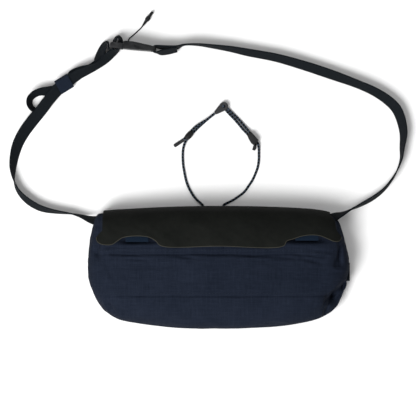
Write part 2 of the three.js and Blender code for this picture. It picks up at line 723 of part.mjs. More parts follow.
const LADDER_ROUND = 2;
function buckleLadder() {
  const half = LADDER_THICK / 2;
  const shape = new THREE.Shape();
  shape.moveTo(LADDER_LENGTH, -half);
  shape.lineTo(LADDER_LENGTH, half);
  shape.lineTo(half, half);
  shape.absarc(half, 0, half, Math.PI / 2, 1.5 * Math.PI);
  const plate = solidOf(extrusion(shape, 0, BUCKLE_HEIGHT, 6))
    .intersect(broadFace(0, LADDER_LENGTH + LADDER_ROUND, LADDER_ROUND));
  return placed(plate
    .subtract(slot(FRONT_SLOT - SLOT_WIDTH / 2, FRONT_SLOT + SLOT_WIDTH / 2))
    .subtract(slot(REAR_SLOT - SLOT_WIDTH / 2, REAR_SLOT + SLOT_WIDTH / 2)), buckleFrame);
}

// The body's side, as shares of its length and thickness
const BODY_SIDE = [
  { u: 0.00, v: -0.30 },
  { u: 0.30, v: -0.31 },
  { u: 0.92, v: -0.24 },
  { u: 1.00, v: -0.10 },
  { u: 1.00, v: 0.27 },
  { u: 0.95, v: 0.38 },
  { u: 0.50, v: 0.62 },
  { u: 0.30, v: 0.71 },
  { u: 0.06, v: 0.69 },
  { u: 0.00, v: 0.58 },
];

const PIN_PLACE = { u: 0.37, v: 0.2 }; // hole in the body's upper edge
const BODY_ROUND = 3; // radius of the corners on the broad face
function buckleBody() {
  const side = shapeOf(BODY_SIDE.map(({ u, v }) => [BODY_START + u * BODY_LENGTH, v * BODY_THICK]));
  const slotEnd = BODY_END - BAR_LENGTH;
  const slotStart = slotEnd - SLOT_WIDTH;
  const pin = new THREE.CylinderGeometry(PIN_RADIUS, PIN_RADIUS, 2 * PIN_DEPTH, 10)
    .rotateX(Math.PI / 2)
    .translate(BODY_START + PIN_PLACE.u * BODY_LENGTH, PIN_PLACE.v * BODY_THICK, BUCKLE_HEIGHT);
  const overBar = (low, high) => block(
    [slotEnd - GAP, low, BUCKLE_RAIL],
    [BODY_END + BUCKLE_RAIL, high, BUCKLE_HEIGHT - BUCKLE_RAIL]);
  return placed(solidOf(extrusion(side, 0, BUCKLE_HEIGHT))
    .intersect(broadFace(BODY_START - BODY_ROUND, BODY_END, BODY_ROUND))
    .subtract(slot(slotStart, slotEnd))
    .subtract(overBar(BAR_MIDDLE + BAR_THICK / 2, BODY_THICK))
    .subtract(overBar(-BODY_THICK, BAR_MIDDLE - BAR_THICK / 2))
    .subtract(solidOf(pin)), buckleFrame);
}

// The cords. Their routes are lists of chosen points.

const ELASTIC_LEFT = [
  [-15.6, 70.0, 1.6], [-15.9, 71.4, 1.5], [-18.2, 73.3, 1.3], [-22.0, 75.2, 1.3],
  [-27.6, 79.6, 1.3], [-32.1, 86.3, 1.3], [-35.7, 93.2, 1.3], [-37.8, 100.1, 1.3],
  [-39.4, 109.3, 1.3], [-40.8, 118.5, 1.3], [-41.2, 127.7, 1.3],
  [-40.8, 135.1, 1.5], [-39.4, 141.0, 2.5], [-36.8, 145.9, 3.6], [-32.8, 150.3, 3.75],
  [-28.8, 154.8, 3.6], [-24.2, 159.4, 2.3], [-17.9, 165.2, 1.6], [-11.2, 171.0, 1.5], [-4.6, 176.3, 1.6],
];
const ELASTIC_LEFT_END = [
  [-4.6, 176.3, 4.4], [-8.0, 173.6, 4.4], [-11.2, 171.1, 4.4], [-14.8, 168.5, 4.45], [-18.4, 166.3, 4.5],
  [-22.2, 164.0, 4.4], [-26.0, 161.6, 4.1], [-28.8, 159.2, 3.9], [-31.0, 156.7, 3.75],
  [-33.0, 154.5, 3.75], [-35.0, 152.3, 3.75], [-37.0, 150.1, 3.72], [-38.6, 148.3, 3.6],
  [-39.4, 147.4, 3.4], [-39.9, 146.8, 3.2],
];
const ELASTIC_RIGHT = [
  [5.8, 70.0, 1.6], [6.0, 71.4, 1.5], [8.6, 73.0, 1.3], [15.0, 76.1, 1.3], [21.9, 80.5, 1.3],
  [28.8, 86.3, 1.3], [33.9, 93.2, 1.3], [38.5, 100.1, 1.3], [42.0, 107.0, 1.3], [44.9, 115.0, 1.3],
  [46.3, 123.1, 1.3], [47.1, 131.1, 1.4], [47.1, 136.6, 2.2], [45.0, 142.4, 3.65], [40.9, 147.8, 3.75],
  [37.0, 153.0, 3.75], [30.6, 161.4, 2.0], [23.4, 169.7, 1.3], [16.3, 176.7, 1.4], [10.9, 181.9, 2.2],
];
const ELASTIC_RIGHT_END = [
  [8.8, 179.9, 2.2], [11.2, 177.3, 1.7], [13.6, 174.7, 1.4], [17.0, 171.0, 1.3], [20.4, 167.2, 1.3],
  [23.7, 163.3, 1.5], [26.9, 159.3, 2.2], [30.5, 155.6, 3.3], [34.4, 151.5, 3.7], [36.3, 149.0, 3.75],
  [38.5, 146.0, 3.75], [40.4, 143.5, 3.75], [41.7, 141.8, 3.65], [42.4, 140.9, 3.5], [42.9, 140.2, 3.3],
];
const PULL_CORD = [
  [-103.5, 259.2, 3.0], [-103.5, 260.2, 2.7], [-103.2, 261.3, 2.3], [-102.5, 262.6, 1.8],
  [-101.5, 263.7, 1.3], [-100.2, 264.8, 0.9], [-98.7, 266.0, 0.8], [-97.0, 267.5, 0.8], [-95.3, 269.0, 0.8],
  [-93.7, 270.5, 0.8], [-92.1, 272.0, 0.8], [-90.6, 273.4, 0.8], [-89.4, 274.6, 0.9],
  [-88.4, 275.7, 1.1], [-87.6, 276.6, 1.4],
];

function cord(points, diameter, step = 2.5) {
  const path = new THREE.CatmullRomCurve3(points.map((p) => new THREE.Vector3(...p)));
  const sides = 8;
  const section = new THREE.Shape();
  for (let k = 0; k < sides; k += 1) {
    const turn = (2 * Math.PI * (k + 0.5)) / sides;
    const corner = [Math.cos(turn), Math.sin(turn)].map((c) => (c * diameter) / 2);
    if (k === 0) section.moveTo(...corner);
    else section.lineTo(...corner);
  }
  const steps = Math.min(80, Math.ceil(path.getLength() / (step * diameter)));
  return new THREE.ExtrudeGeometry(section, { steps, extrudePath: path });
}

// What is on the cords. Each lies along the two cords that it holds, which are side by side.

const CORD_SPACING = 2.9; // between the middles of two cords side by side
const BORE_PLAY = 0.45; // round each cord
const BORE_RADIUS = CORD_DIAMETER / 2 + BORE_PLAY;
const BORE_HEIGHT = 3.75;

function along(x, y, degrees) {
  const turn = THREE.MathUtils.degToRad(degrees);
  return new THREE.Matrix4().makeRotationZ(turn).setPosition(x, y, 0);
}

// A bore for two cords, along X
function bore(length) {
  const shape = new THREE.Shape();
  shape.absarc(CORD_SPACING / 2, 0, BORE_RADIUS, -Math.PI / 2, Math.PI / 2);
  shape.absarc(-CORD_SPACING / 2, 0, BORE_RADIUS, Math.PI / 2, 1.5 * Math.PI);
  const lying = extrusion(shape, -length, length, 5).rotateZ(Math.PI / 2).rotateY(Math.PI / 2);
  return solidOf(lying.translate(0, 0, BORE_HEIGHT));
}

const BEAD_PLACE = along(-33.9, 151.3, 48);
function cordBead() {
  const ball = new THREE.SphereGeometry(0.5, 16, 10).rotateZ(Math.PI / 2);
  ball.scale(BEAD_LENGTH, BEAD_DIAMETER, BEAD_DIAMETER).translate(0, 0, BEAD_DIAMETER / 2 + FLOOR_GAP);
  return placed(solidOf(ball).subtract(bore(BEAD_LENGTH)), BEAD_PLACE);
}

// The lock as looked down on: shares of its length from its middle, and of its width
const LOCK_OUTLINE = [
  { along: -0.52, across: 0.40 },
  { along: -0.55, across: -0.30 },
  { along: -0.22, across: -0.46 },
  { along: 0.15, across: -0.53 },
  { along: 0.38, across: -0.42 },
  { along: 0.42, across: 0.10 },
  { along: 0.30, across: 0.50 },
  { along: 0.00, across: 0.47 },
  { along: -0.35, across: 0.42 },
];
const LOCK_PLACE = along(39.7, 146.9, -53);
function cordLock() {
  const shape = shapeOf(LOCK_OUTLINE.map((row) => (
    [row.along * LOCK_LENGTH, row.across * LOCK_WIDTH])));
  const body = solidOf(extrusion(shape, FLOOR_GAP, LOCK_HEIGHT + FLOOR_GAP));
  return placed(body.subtract(bore(LOCK_LENGTH)), LOCK_PLACE);
}

const HOOK_PLACE = along(6.1, 184.7, -142);
function cordHook() {
  const taper = Math.asin((HOOK_RADIUS - HOOK_TIP_RADIUS) / HOOK_LENGTH);
  const shape = new THREE.Shape();
  shape.absarc(0, 0, HOOK_RADIUS, Math.PI / 2 - taper, -Math.PI / 2 + taper + 2 * Math.PI);
  shape.absarc(HOOK_LENGTH, 0, HOOK_TIP_RADIUS, -Math.PI / 2 + taper, Math.PI / 2 - taper);
  const eye = new THREE.Path();
  eye.absarc(0, 0, EYE_RADIUS, 0, 2 * Math.PI);
  shape.holes.push(eye);
  return extrusion(shape, FLOOR_GAP, HOOK_THICK + FLOOR_GAP, 6).applyMatrix4(HOOK_PLACE);
}

// A turned piece that lies along X from its small end: radius is a share of the diameter
function turned(profile, length, diameter, place) {
  const points = profile.map((row) => new THREE.Vector2(row.radius * diameter, row.x * length));
  const lathe = new THREE.LatheGeometry(points, 12).rotateZ(-Math.PI / 2)
    .translate(0, 0, diameter / 2 + FLOOR_GAP);
  return placed(solidOf(lathe), place);
}

const CAP_PROFILE = [
  { x: 0, radius: 0 },
  { x: 0, radius: 0.42 },
  { x: 0.06, radius: 0.5 },
  { x: 0.94, radius: 0.5 },
  { x: 1, radius: 0.42 },
  { x: 1, radius: 0 },
];
const PULL_TAB_PROFILE = [
  { x: 0, radius: 0 },
  { x: 0, radius: 0.16 },
  { x: 0.40, radius: 0.36 },
  { x: 0.44, radius: 0.5 },
  { x: 0.62, radius: 0.5 },
  { x: 0.66, radius: 0.33 },
  { x: 1, radius: 0.33 },
  { x: 1, radius: 0 },
];
const PULL_TAB_PLACE = along(-87.3, 276.9, 54.5);
const LEFT_CAP_PLACE = along(-40.6, 145.9, 213);
const RIGHT_CAP_PLACE = along(42.6, 139.0, 260);

const group = new THREE.Group();

function add(name, shape, material) {
  const mesh = new THREE.Mesh(shape.isBufferGeometry ? shape : geometryOf(shape), material);
  mesh.name = name;
  group.add(mesh);
}

add('bag_shell', bagShell(), fabric);
add('back_panel', backPanel(), fabric);
add('zip', zip(), webbing);
add('flap', flap(), facing);
for (const place of LOOP_PLACES) add(place.name, webbingLoop(place), brightWebbing);
add('side_tab', sideTab(), webbing);
add('cord_tab', cordTab(), webbing);
add('strap_left', strapLeft(), webbing);
add('strap_tail', ribbon(tailRoute()), webbing);
add('strap_keeper', keeper(), brightWebbing);
add('strap_right', strapRight(), webbing);
add('buckle_ladder', buckleLadder(), plastic);
add('buckle_body', buckleBody(), plastic);
add('pull_cord', cord(PULL_CORD, PULL_DIAMETER), elastic);
add('pull_tab', turned(PULL_TAB_PROFILE, TAB_LENGTH, TAB_DIAMETER, PULL_TAB_PLACE), plastic);
add('elastic_left', cord(ELASTIC_LEFT, CORD_DIAMETER), elastic);
add('elastic_left_end', cord(ELASTIC_LEFT_END, CORD_DIAMETER), elastic);
add('elastic_right', cord(ELASTIC_RIGHT, CORD_DIAMETER), elastic);
add('elastic_right_end', cord(ELASTIC_RIGHT_END, CORD_DIAMETER), elastic);
add('cord_bead', cordBead(), plastic);
add('cord_lock', cordLock(), plastic);
add('cord_hook', cordHook(), plastic);
add('cord_cap_left', turned(CAP_PROFILE, CAP_LENGTH, CAP_DIAMETER, LEFT_CAP_PLACE), plastic);
add('cord_cap_right', turned(CAP_PROFILE, LOCK_CAP_LENGTH, CAP_DIAMETER, RIGHT_CAP_PLACE), plastic);

export default group;
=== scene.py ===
import math

import bmesh
import bpy
from mathutils import Matrix, Vector, noise
from mathutils.bvhtree import BVHTree


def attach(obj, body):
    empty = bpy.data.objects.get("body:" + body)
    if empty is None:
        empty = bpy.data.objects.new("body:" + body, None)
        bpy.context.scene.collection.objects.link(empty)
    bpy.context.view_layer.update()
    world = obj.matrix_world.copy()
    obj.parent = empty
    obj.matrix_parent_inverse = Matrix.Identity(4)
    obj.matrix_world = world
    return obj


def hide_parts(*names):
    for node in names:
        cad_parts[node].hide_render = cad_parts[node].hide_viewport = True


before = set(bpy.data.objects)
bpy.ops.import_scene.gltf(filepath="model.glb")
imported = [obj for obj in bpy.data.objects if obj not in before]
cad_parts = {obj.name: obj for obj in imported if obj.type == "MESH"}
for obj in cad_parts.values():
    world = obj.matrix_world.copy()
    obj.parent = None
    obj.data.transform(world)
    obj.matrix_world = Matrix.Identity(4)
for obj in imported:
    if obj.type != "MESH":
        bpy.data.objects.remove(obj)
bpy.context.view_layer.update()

# A handlebar bag that lies on its back on a pale floor, with its strap and elastic cords laid
# out above it. Shapes are worked out in millimetres and scaled to metres when a piece is made.
MM = 0.001
UP = Vector((0, 0, 1))

# The bag
HALF_WIDTH = 149.5
HALF_HEIGHT = 70.5
DEPTH = 62
GAP = 0.3
FLOOR_GAP = 0.1
ZIP_WIDTH = 9
ZIP_LENGTH = 220
ZIP_THICK = 0.9
ZIP_CENTRE = 0.81 * HALF_HEIGHT
CLOTH_WALL = 1.4
FLAP_FOOT = 9
FLAP_THICK = 1.2
EDGE_THICK = 0.9
LOOP_WIDTH = 26
LOOP_DEPTH = 20
LOOP_THICK = 0.85
END_TAB_WIDTH = 21
END_TAB_THICK = 0.8
TOP_TAB_WIDTH = 32
TOP_TAB_THICK = 1.0
POCKET_DEPTH = 8.0

# The strap and its buckle
STRAP_WIDTH = 15
STRAP_THICK = 1.6
LAYER_STEP = 1.8
STRAP_REACH = 108
STRAP_RISE = 202
LADDER_LENGTH = 14.7
BODY_LENGTH = 38
BODY_THICK = 8.6
BUCKLE_HEIGHT = 21
KEEPER_LENGTH = 17
KEEPER_THICK = 1.1
KEEPER_CORNER = 1.3

# The cords
CORD_DIAMETER = 2.5
PULL_DIAMETER = 1.3
CORD_SPREAD = 1.1
FOLD_DIAMETER = 2.6

# The camera looks straight down, as the photograph does
CAMERA_HEIGHT = 2500
VIEW_WIDTH = 478.4
VIEW_CENTRE = (-12.1, 67.9)
SENSOR = 36
FLOOR_TONE = (0.71, 0.71, 0.71, 1)
SKY_STRENGTH = 0.38

# The crown's ridge: its length as a share of the bag's, and how much lower its ends are
RIDGE = 0.72
RIDGE_FALL = 0.13

# The bag's outline from above: x as a share of the half width, top and low of the half height
OUTLINE = [
    (-1.000, 0.02, 0.02),
    (-0.990, 0.35, -0.20),
    (-0.967, 0.61, -0.36),
    (-0.931, 0.852, -0.54),
    (-0.877, 0.878, -0.70),
    (-0.755, 0.904, -0.848),
    (-0.510, 0.943, -0.937),
    (-0.203, 0.970, -0.983),
    (0.165, 0.972, -0.992),
    (0.500, 0.950, -0.948),
    (0.730, 0.908, -0.850),
    (0.860, 0.846, -0.725),
    (0.915, 0.76, -0.595),
    (0.955, 0.52, -0.39),
    (0.985, 0.25, -0.16),
    (1.000, 0.02, 0.02),
]

# Side view below the widest line: reach and height as shares of the outline's and the crown's
SKIRT_ROWS = [
    (0.926, 0.045),
    (0.945, 0.060),
    (0.958, 0.085),
    (0.969, 0.115),
    (0.979, 0.145),
    (0.986, 0.175),
    (0.992, 0.205),
    (0.996, 0.235),
    (0.999, 0.265),
]

# Side view above it: reach and height at the bag's top, reach and height at its bottom
FRONT_ROWS = [
    (1.000, 0.30, 1.000, 0.30),
    (0.988, 0.46, 0.985, 0.44),
    (0.950, 0.62, 0.940, 0.60),
    (0.875, 0.77, 0.860, 0.75),
    (0.750, 0.88, 0.740, 0.865),
    (0.600, 0.945, 0.600, 0.94),
    (0.440, 0.98, 0.480, 0.975),
    (0.310, 0.985, 0.460, 0.977),
    (0.245, 0.988, 0.425, 0.980),
    (0.180, 0.992, 0.390, 0.984),
]

# Side view of the flat back: reach as a share of the outline's, height in millimetres
BACK_ROWS = [
    (0, 2.2),
    (0.30, 2.2),
    (0.60, 2.2),
    (0.86, 2.25),
    (0.905, 2.2),
    (0.914, 1.8),
    (0.912, 1.1),
    (0.904, 0.5),
    (0.892, 0.12),
    (0.88, 0),
    (0.86, 0),
    (0.60, 0),
    (0.30, 0),
    (0, 0),
]

# The flap's cut edge with its two cut-outs: x as a share of the half width, y of the half height
FLAP_EDGE = [
    (-0.877, 0.600),
    (-0.905, 0.545),
    (-0.921, 0.500),
    (-0.918, 0.440),
    (-0.895, 0.400),
    (-0.860, 0.382),
    (-0.805, 0.386),
    (-0.765, 0.440),
    (-0.725, 0.495),
    (-0.660, 0.520),
    (-0.580, 0.522),
    (-0.520, 0.502),
    (-0.470, 0.440),
    (-0.435, 0.368),
    (0.000, 0.362),
    (0.485, 0.365),
    (0.508, 0.440),
    (0.560, 0.478),
    (0.625, 0.522),
    (0.700, 0.540),
    (0.770, 0.522),
    (0.830, 0.470),
    (0.872, 0.436),
    (0.912, 0.445),
    (0.926, 0.500),
    (0.892, 0.600),
    (0.876, 0.760),
    (0.848, 0.860),
]

# Rows of the strap's routes: two places, roll in degrees, and lift as a share of CORNER_LIFT.

# From the bag's left corner: places as shares of STRAP_REACH and STRAP_RISE
LEFT_ROUTE = [
    (0.000, 0.000, 32, 1.00),
    (-0.080, 0.009, 48, 0.62),
    (-0.150, 0.018, 66, 0.27),
    (-0.225, 0.030, 79, 0.06),
    (-0.340, 0.044, 92, 0),
    (-0.488, 0.054, 103, 0),
    (-0.657, 0.074, 116, 0),
    (-0.797, 0.116, 118, 0),
    (-0.898, 0.172, 107, 0),
    (-0.943, 0.232, 93, 0),
    (-0.956, 0.303, 68, 0),
    (-0.940, 0.374, 53, 0),
    (-0.905, 0.440, 42, 0),
    (-0.843, 0.504, 34, 0),
    (-0.750, 0.572, 29, 0),
    (-0.647, 0.638, 33, 0.07),
    (-0.590, 0.678, 35, 0.15),
]

# Into the ladder: places along and across the buckle, as shares of LADDER_LENGTH
LEFT_ROUTE_END = [
    (-3.70, -3.88, 35, 0.22),
    (-2.78, -2.99, 38, 0.21),
    (-2.22, -2.53, 46, 0.19),
    (-1.63, -2.17, 54, 0.15),
    (-1.02, -1.73, 53, 0.14),
    (-0.30, -1.12, 50, 0.14),
    (0.28, -0.58, 64, 0.15),
    (0.66, -0.32, 86, 0.16),
    (0.74, -0.04, 90, 0.16),
]

# Round the ladder's bars and back to the keeper: places as in LEFT_ROUTE_END
TAIL_ROUTE = [
    (0.74, -0.018, 86, 0.16),
    (0.775, 0.28, 74, 0.16),
    (0.76, 0.54, 78, 0.16),
    (0.56, 0.72, 78, 0.16),
    (0.36, 0.54, 78, 0.16),
    (0.325, 0.28, 74, 0.16),
    (0.31, 0.00, 86, 0.16),
    (0.295, -0.18, 90, 0.16),
    (0.24, -0.31, 90, 0.16),
    (0.12, -0.37, 90, 0.16),
    (-0.04, -0.31, 90, 0.16),
    (-0.12, -0.14, 90, 0.16),
    (-0.15, 0.08, 91, 0.16),
    (-0.24, 0.20, 80, 0.16),
    (-0.40, 0.06, 68, 0.16),
    (-0.57, -0.35, 56, 0.16),
    (-0.78, -0.98, 54, 0.15),
    (-1.02, -1.46, 74, 0.14),
    (-1.42, -1.83, 106, 0.11),
    (-1.97, -2.19, 132, 0.10),
    (-2.56, -2.58, 149, 0.10),
]

# From the keeper to the free end: places as shares of KEEPER_LENGTH
TAIL_LOOP = [
    (-0.24, -0.13, 150, 0.10),
    (-0.60, -0.155, 137, 0.06),
    (-1.07, -0.165, 121, 0.02),
    (-1.53, -0.325, 115, 0),
    (-1.84, -0.635, 112, 0),
    (-1.88, -1.00, 110, 0),
    (-1.71, -1.29, 110, 0),
    (-1.52, -1.44, 110, 0),
]

# From the buckle to the bag's right corner: places as shares of the way between them
RIGHT_ROUTE = [
    (0.156, -0.026, 90, 0.15),
    (0.229, -0.028, 87, 0.10),
    (0.314, -0.018, 80, 0.05),
    (0.415, -0.003, 70, 0),
    (0.517, 0.018, 61, 0),
    (0.670, 0.048, 57, 0),
    (0.821, 0.092, 51, 0),
    (0.972, 0.144, 48, 0),
    (1.126, 0.203, 57, 0),
    (1.226, 0.249, 54, 0),
    (1.303, 0.301, 49, 0),
    (1.348, 0.348, 47, 0),
    (1.373, 0.402, 50, 0),
    (1.391, 0.495, 60, 0),
    (1.383, 0.583, 75, 0),
    (1.377, 0.651, 87, 0),
    (1.344, 0.739, 96, 0),
    (1.286, 0.824, 102, 0),
    (1.224, 0.878, 107, 0),
    (1.161, 0.915, 105, 0.02),
    (1.092, 0.948, 93, 0.30),
    (1.053, 0.966, 80, 0.62),
    (1.019, 0.981, 62, 0.88),
    (0.985, 0.999, 48, 1.02),
]

# Sewn fold round the buckle's far bar: places as shares of BODY_THICK, and roll
FOLD_ROUTE = [
    (2.75, 0.24, 108),
    (1.60, -0.15, 110),
    (0.70, -0.37, 108),
    (0.15, -0.41, 92),
    (-0.20, -0.38, 90),
    (-0.46, -0.22, 90),
    (-0.52, -0.01, 90),
    (-0.46, 0.19, 90),
    (-0.20, 0.33, 86),
    (0.25, 0.33, 80),
    (1.60, 0.36, 76),
    (2.75, 0.54, 80),
]

# The cords, each from where it leaves the bag, the hook or the buckle: x, y and height in
# millimetres
ELASTIC_LEFT = [
    (-17.4, 69.6, 1.6), (-18.2, 71.2, 1.5), (-20.0, 73.0, 1.3), (-23.0, 75.6, 1.3),
    (-27.4, 80.0, 1.3), (-31.7, 86.5, 1.3), (-35.2, 93.4, 1.3), (-37.5, 100.3, 1.3),
    (-39.4, 109.3, 1.3), (-40.8, 118.5, 1.3), (-41.2, 127.7, 1.3),
    (-40.8, 135.1, 1.5), (-39.4, 141.0, 2.5), (-36.8, 145.9, 3.6), (-32.8, 150.3, 3.75),
    (-28.8, 154.8, 3.6), (-24.2, 159.4, 2.3), (-17.9, 165.2, 1.6), (-11.2, 171.0, 1.5), (-4.6, 176.3, 1.6),
]

ELASTIC_LEFT_END = [
    (-4.6, 176.3, 4.4), (-8.0, 173.6, 4.4), (-11.2, 171.1, 4.4), (-14.8, 168.5, 4.45), (-18.4, 166.3, 4.5),
    (-22.2, 164.0, 4.4), (-26.0, 161.6, 4.1), (-28.8, 159.2, 3.9), (-31.0, 156.7, 3.75),
    (-33.0, 154.5, 3.75), (-35.0, 152.3, 3.75), (-37.0, 150.1, 3.72), (-38.6, 148.3, 3.6),
    (-39.4, 147.4, 3.4), (-39.9, 146.8, 3.2),
]

ELASTIC_RIGHT = [
    (5.8, 70.0, 1.6), (6.0, 71.4, 1.5), (8.6, 73.0, 1.3), (15.0, 76.1, 1.3), (21.9, 80.5, 1.3),
    (29.2, 86.0, 1.3), (34.4, 93.0, 1.3), (39.0, 100.0, 1.3), (42.2, 107.0, 1.3), (45.0, 115.0, 1.3),
    (46.2, 123.1, 1.3), (46.3, 131.1, 1.4), (46.2, 136.8, 2.2), (45.0, 142.4, 3.65), (40.9, 147.8, 3.75),
    (37.2, 153.0, 3.75), (30.6, 161.2, 2.0), (23.4, 169.5, 1.3), (16.3, 176.6, 1.4), (10.9, 181.8, 2.2),
]

ELASTIC_RIGHT_END = [
    (8.8, 179.9, 2.2), (11.2, 177.3, 1.7), (13.6, 174.7, 1.4), (17.2, 171.1, 1.3), (20.6, 167.3, 1.3),
    (23.9, 163.4, 1.5), (27.1, 159.4, 2.2), (30.6, 155.6, 3.3), (34.4, 151.5, 3.7), (36.3, 149.0, 3.75),
    (38.5, 146.0, 3.75), (40.4, 143.5, 3.75), (41.7, 141.8, 3.65), (42.4, 140.9, 3.5), (42.9, 140.2, 3.3),
]

PULL_CORD = [
    (-103.5, 259.2, 3.0), (-103.5, 260.2, 2.7), (-103.2, 261.3, 2.3), (-102.5, 262.6, 1.8),
    (-101.5, 263.7, 1.3), (-100.2, 264.8, 0.9), (-98.7, 266.0, 0.8), (-97.0, 267.5, 0.8),
    (-95.3, 269.0, 0.8), (-93.7, 270.5, 0.8), (-92.1, 272.0, 0.8), (-90.6, 273.4, 0.8),
    (-89.4, 274.6, 0.9), (-88.4, 275.7, 1.1), (-87.6, 276.6, 1.4),
]

# Dents of the soft body, from one point to another, as shares of the half width and height:
# x, y, x, y, reach as a share of the half height, depth as a share of the bag's depth
DENTS = [
    (-0.80, 0.243, 0.70, 0.240, 0.045, 0.035),
    (-0.84, -0.415, 0.78, -0.415, 0.030, 0.020),
    (0.96, -0.27, 0.84, -0.47, 0.10, 0.10),
    (0.84, -0.47, 0.79, -0.64, 0.09, 0.06),
    (0.91, 0.30, 0.905, 0.08, 0.08, 0.06),
    (-0.93, 0.28, -0.90, 0.22, 0.09, 0.05),
    (-0.82, -0.55, -0.80, -0.68, 0.08, 0.04),
]

# Fine wrinkles of the cloth in millimetres: x, y, x, y, width, and depth as a share of
# WRINKLE_DEPTH
WRINKLE_DEPTH = 2.3
WRINKLES = [
    (-108, 15.5, -84, 14.5, 1.6, 0.50),
    (-105, 11.5, -80, 9.5, 2.0, 0.45),
    (-48, 13.8, -18, 10.8, 1.8, 0.50),
    (-40, 9.0, -22, 8.0, 2.2, 0.30),
    (18, 15.0, 60, 14.2, 1.8, 0.45),
    (56, 13.5, 96, 11.0, 2.2, 0.50),
    (92, 12.5, 118, 5.5, 2.4, 0.55),
    (-112, 3.5, -20, 3.0, 3.0, 0.25),
    (-128, 8.0, -120, -12.0, 3.0, 0.35),
    (-140, 18.0, -133, 13.5, 2.4, 0.90),
    (-136, 30.0, -141, 10.0, 3.0, 0.45),
    (-126, -36.0, -119, -51.0, 2.2, 0.70),
    (-113, -40.0, -104, -58.0, 3.0, 0.35),
    (137, 25.0, 137.5, 5.5, 2.0, 1.10),
    (130, 21.0, 118, 13.0, 2.2, 0.55),
    (142, -17.0, 124, -32.0, 2.4, 1.50),
    (124, -32.0, 118.5, -49.0, 2.4, 1.10),
    (139, -33.0, 128, -43.0, 3.0, 0.80),
    (112, -34.0, 104, -46.0, 3.0, 0.35),
    (134, -2.0, 122, -8.0, 3.0, 0.35),
    (-20, -55.0, 40, -56.0, 3.5, 0.20),
]

# Folds where the cloth drops on the left of a line that runs from one point to another, in
# millimetres: x, y, x, y, drop, reach of the low side
FOLDS = [
    (143.5, -15.5, 126.5, -30.5, -19.0, 10.0),
    (126.5, -30.5, 118.5, -50.0, -12.0, 9.0),
    (138.5, 30.0, 131.5, 10.0, -4.5, 11.0),
    (131.0, 66.0, 133.0, 34.0, -6.0, 9.0),
    (-131.5, 34.0, -131.5, 64.0, -6.0, 9.0),
    (-134.0, 12.0, -139.5, 22.0, -3.0, 5.0),
    (-119.0, -54.0, -127.0, -38.0, -2.5, 5.0),
]

# The two seams that run across the front: the upper panel's hem and the lapped low seam
HEM = {"y": 18.6, "fall": 4.0, "fall_from": 80, "fall_to": 122, "left": -128, "right": 121, "lip": 1.2}
SEAM = {"y": -29.6, "left": -131, "right": 118, "lip": 0.85}


def smooth(share):
    share = min(max(share, 0.0), 1.0)
    return share * share * (3 - 2 * share)


def mix(a, b, share):
    return a + (b - a) * share


def between(values, place):
    """A value between the rows of a table, on a smooth curve."""
    last = len(values) - 1
    row = min(int(place), last - 1)
    f = place - row
    a, b, c, d = (values[min(max(row + k, 0), last)] for k in (-1, 0, 1, 2))
    return 0.5 * (2 * b + (c - a) * f + (2 * a - 5 * b + 4 * c - d) * f * f
                  + (3 * b - a - 3 * c + d) * f * f * f)


def curve_point(points, place):
    """A point on the smooth curve through a list of points, by row and fraction."""
    last = len(points) - 1
    row = min(int(place), last - 1)
    b, c = points[row], points[row + 1]
    a = points[row - 1] if row > 0 else 2 * b - c
    d = points[row + 2] if row + 2 <= last else 2 * c - b
    first, middle, third = (max((q - p).length, 1e-6) ** 0.5 for p, q in ((a, b), (b, c), (c, d)))
    leave = ((b - a) / first - (c - a) / (first + middle) + (c - b) / middle) * middle
    arrive = ((c - b) / middle - (d - b) / (middle + third) + (d - c) / third) * middle
    f = place - row
    return (b + leave * f + (3 * (c - b) - 2 * leave - arrive) * f * f
            + (2 * (b - c) + leave + arrive) * f * f * f)


# Making pieces

def loft(rows, uvs=None):
    """A skin through closed rows of points, each row extruded from the one before. uvs holds a
    pair for each point of each row, and one more where the row closes."""
    bm = bmesh.new()
    count = len(rows[0])
    row_layer = bm.verts.layers.int.new("row")
    spot_layer = bm.verts.layers.int.new("spot")
    uv = bm.loops.layers.uv.new("UVMap")
    verts = bmesh.ops.create_circle(bm, segments=count, radius=1)["verts"]
    for number, places in enumerate(rows):
        if number:
            edges = [bm.edges.get(pair) for pair in zip(verts, verts[1:] + verts[:1])]
            made = bmesh.ops.extrude_edge_only(bm, edges=edges)["geom"]
            new = {item for item in made if isinstance(item, bmesh.types.BMVert)}
            verts = [next(e.other_vert(v) for e in v.link_edges if e.other_vert(v) in new)
                     for v in verts]
        for spot, (vert, place) in enumerate(zip(verts, places)):
            vert.co = place
            vert[row_layer] = number
            vert[spot_layer] = spot
    if uvs:
        for face in bm.faces:
            spots = [loop.vert[spot_layer] for loop in face.loops]
            wraps = max(spots) - min(spots) > count / 2
            for loop, spot in zip(face.loops, spots):
                spot = count if wraps and spot == 0 else spot
                loop[uv].uv = uvs[loop.vert[row_layer]][spot]
    return bm


def close_ends(bm):
    edges = [edge for edge in bm.edges if edge.is_boundary]
    bmesh.ops.holes_fill(bm, edges=edges, sides=0)
    bmesh.ops.recalc_face_normals(bm, faces=bm.faces)


def swept(section, frames):
    """A closed section carried along frames of point, across and face."""
    round_steps = [0.0]
    for (a, f), (b, g) in zip(section, section[1:] + section[:1]):
        round_steps.append(round_steps[-1] + math.hypot(b - a, g - f))
    rows = []
    uvs = []
    along = 0.0
    before = frames[0][0]
    for point, across, face in frames:
        along += (point - before).length
        before = point
        rows.append([point + across * a + face * f for a, f in section])
        uvs.append([(step, along) for step in round_steps])
    bm = loft(rows, uvs=uvs)
    close_ends(bm)
    return bm


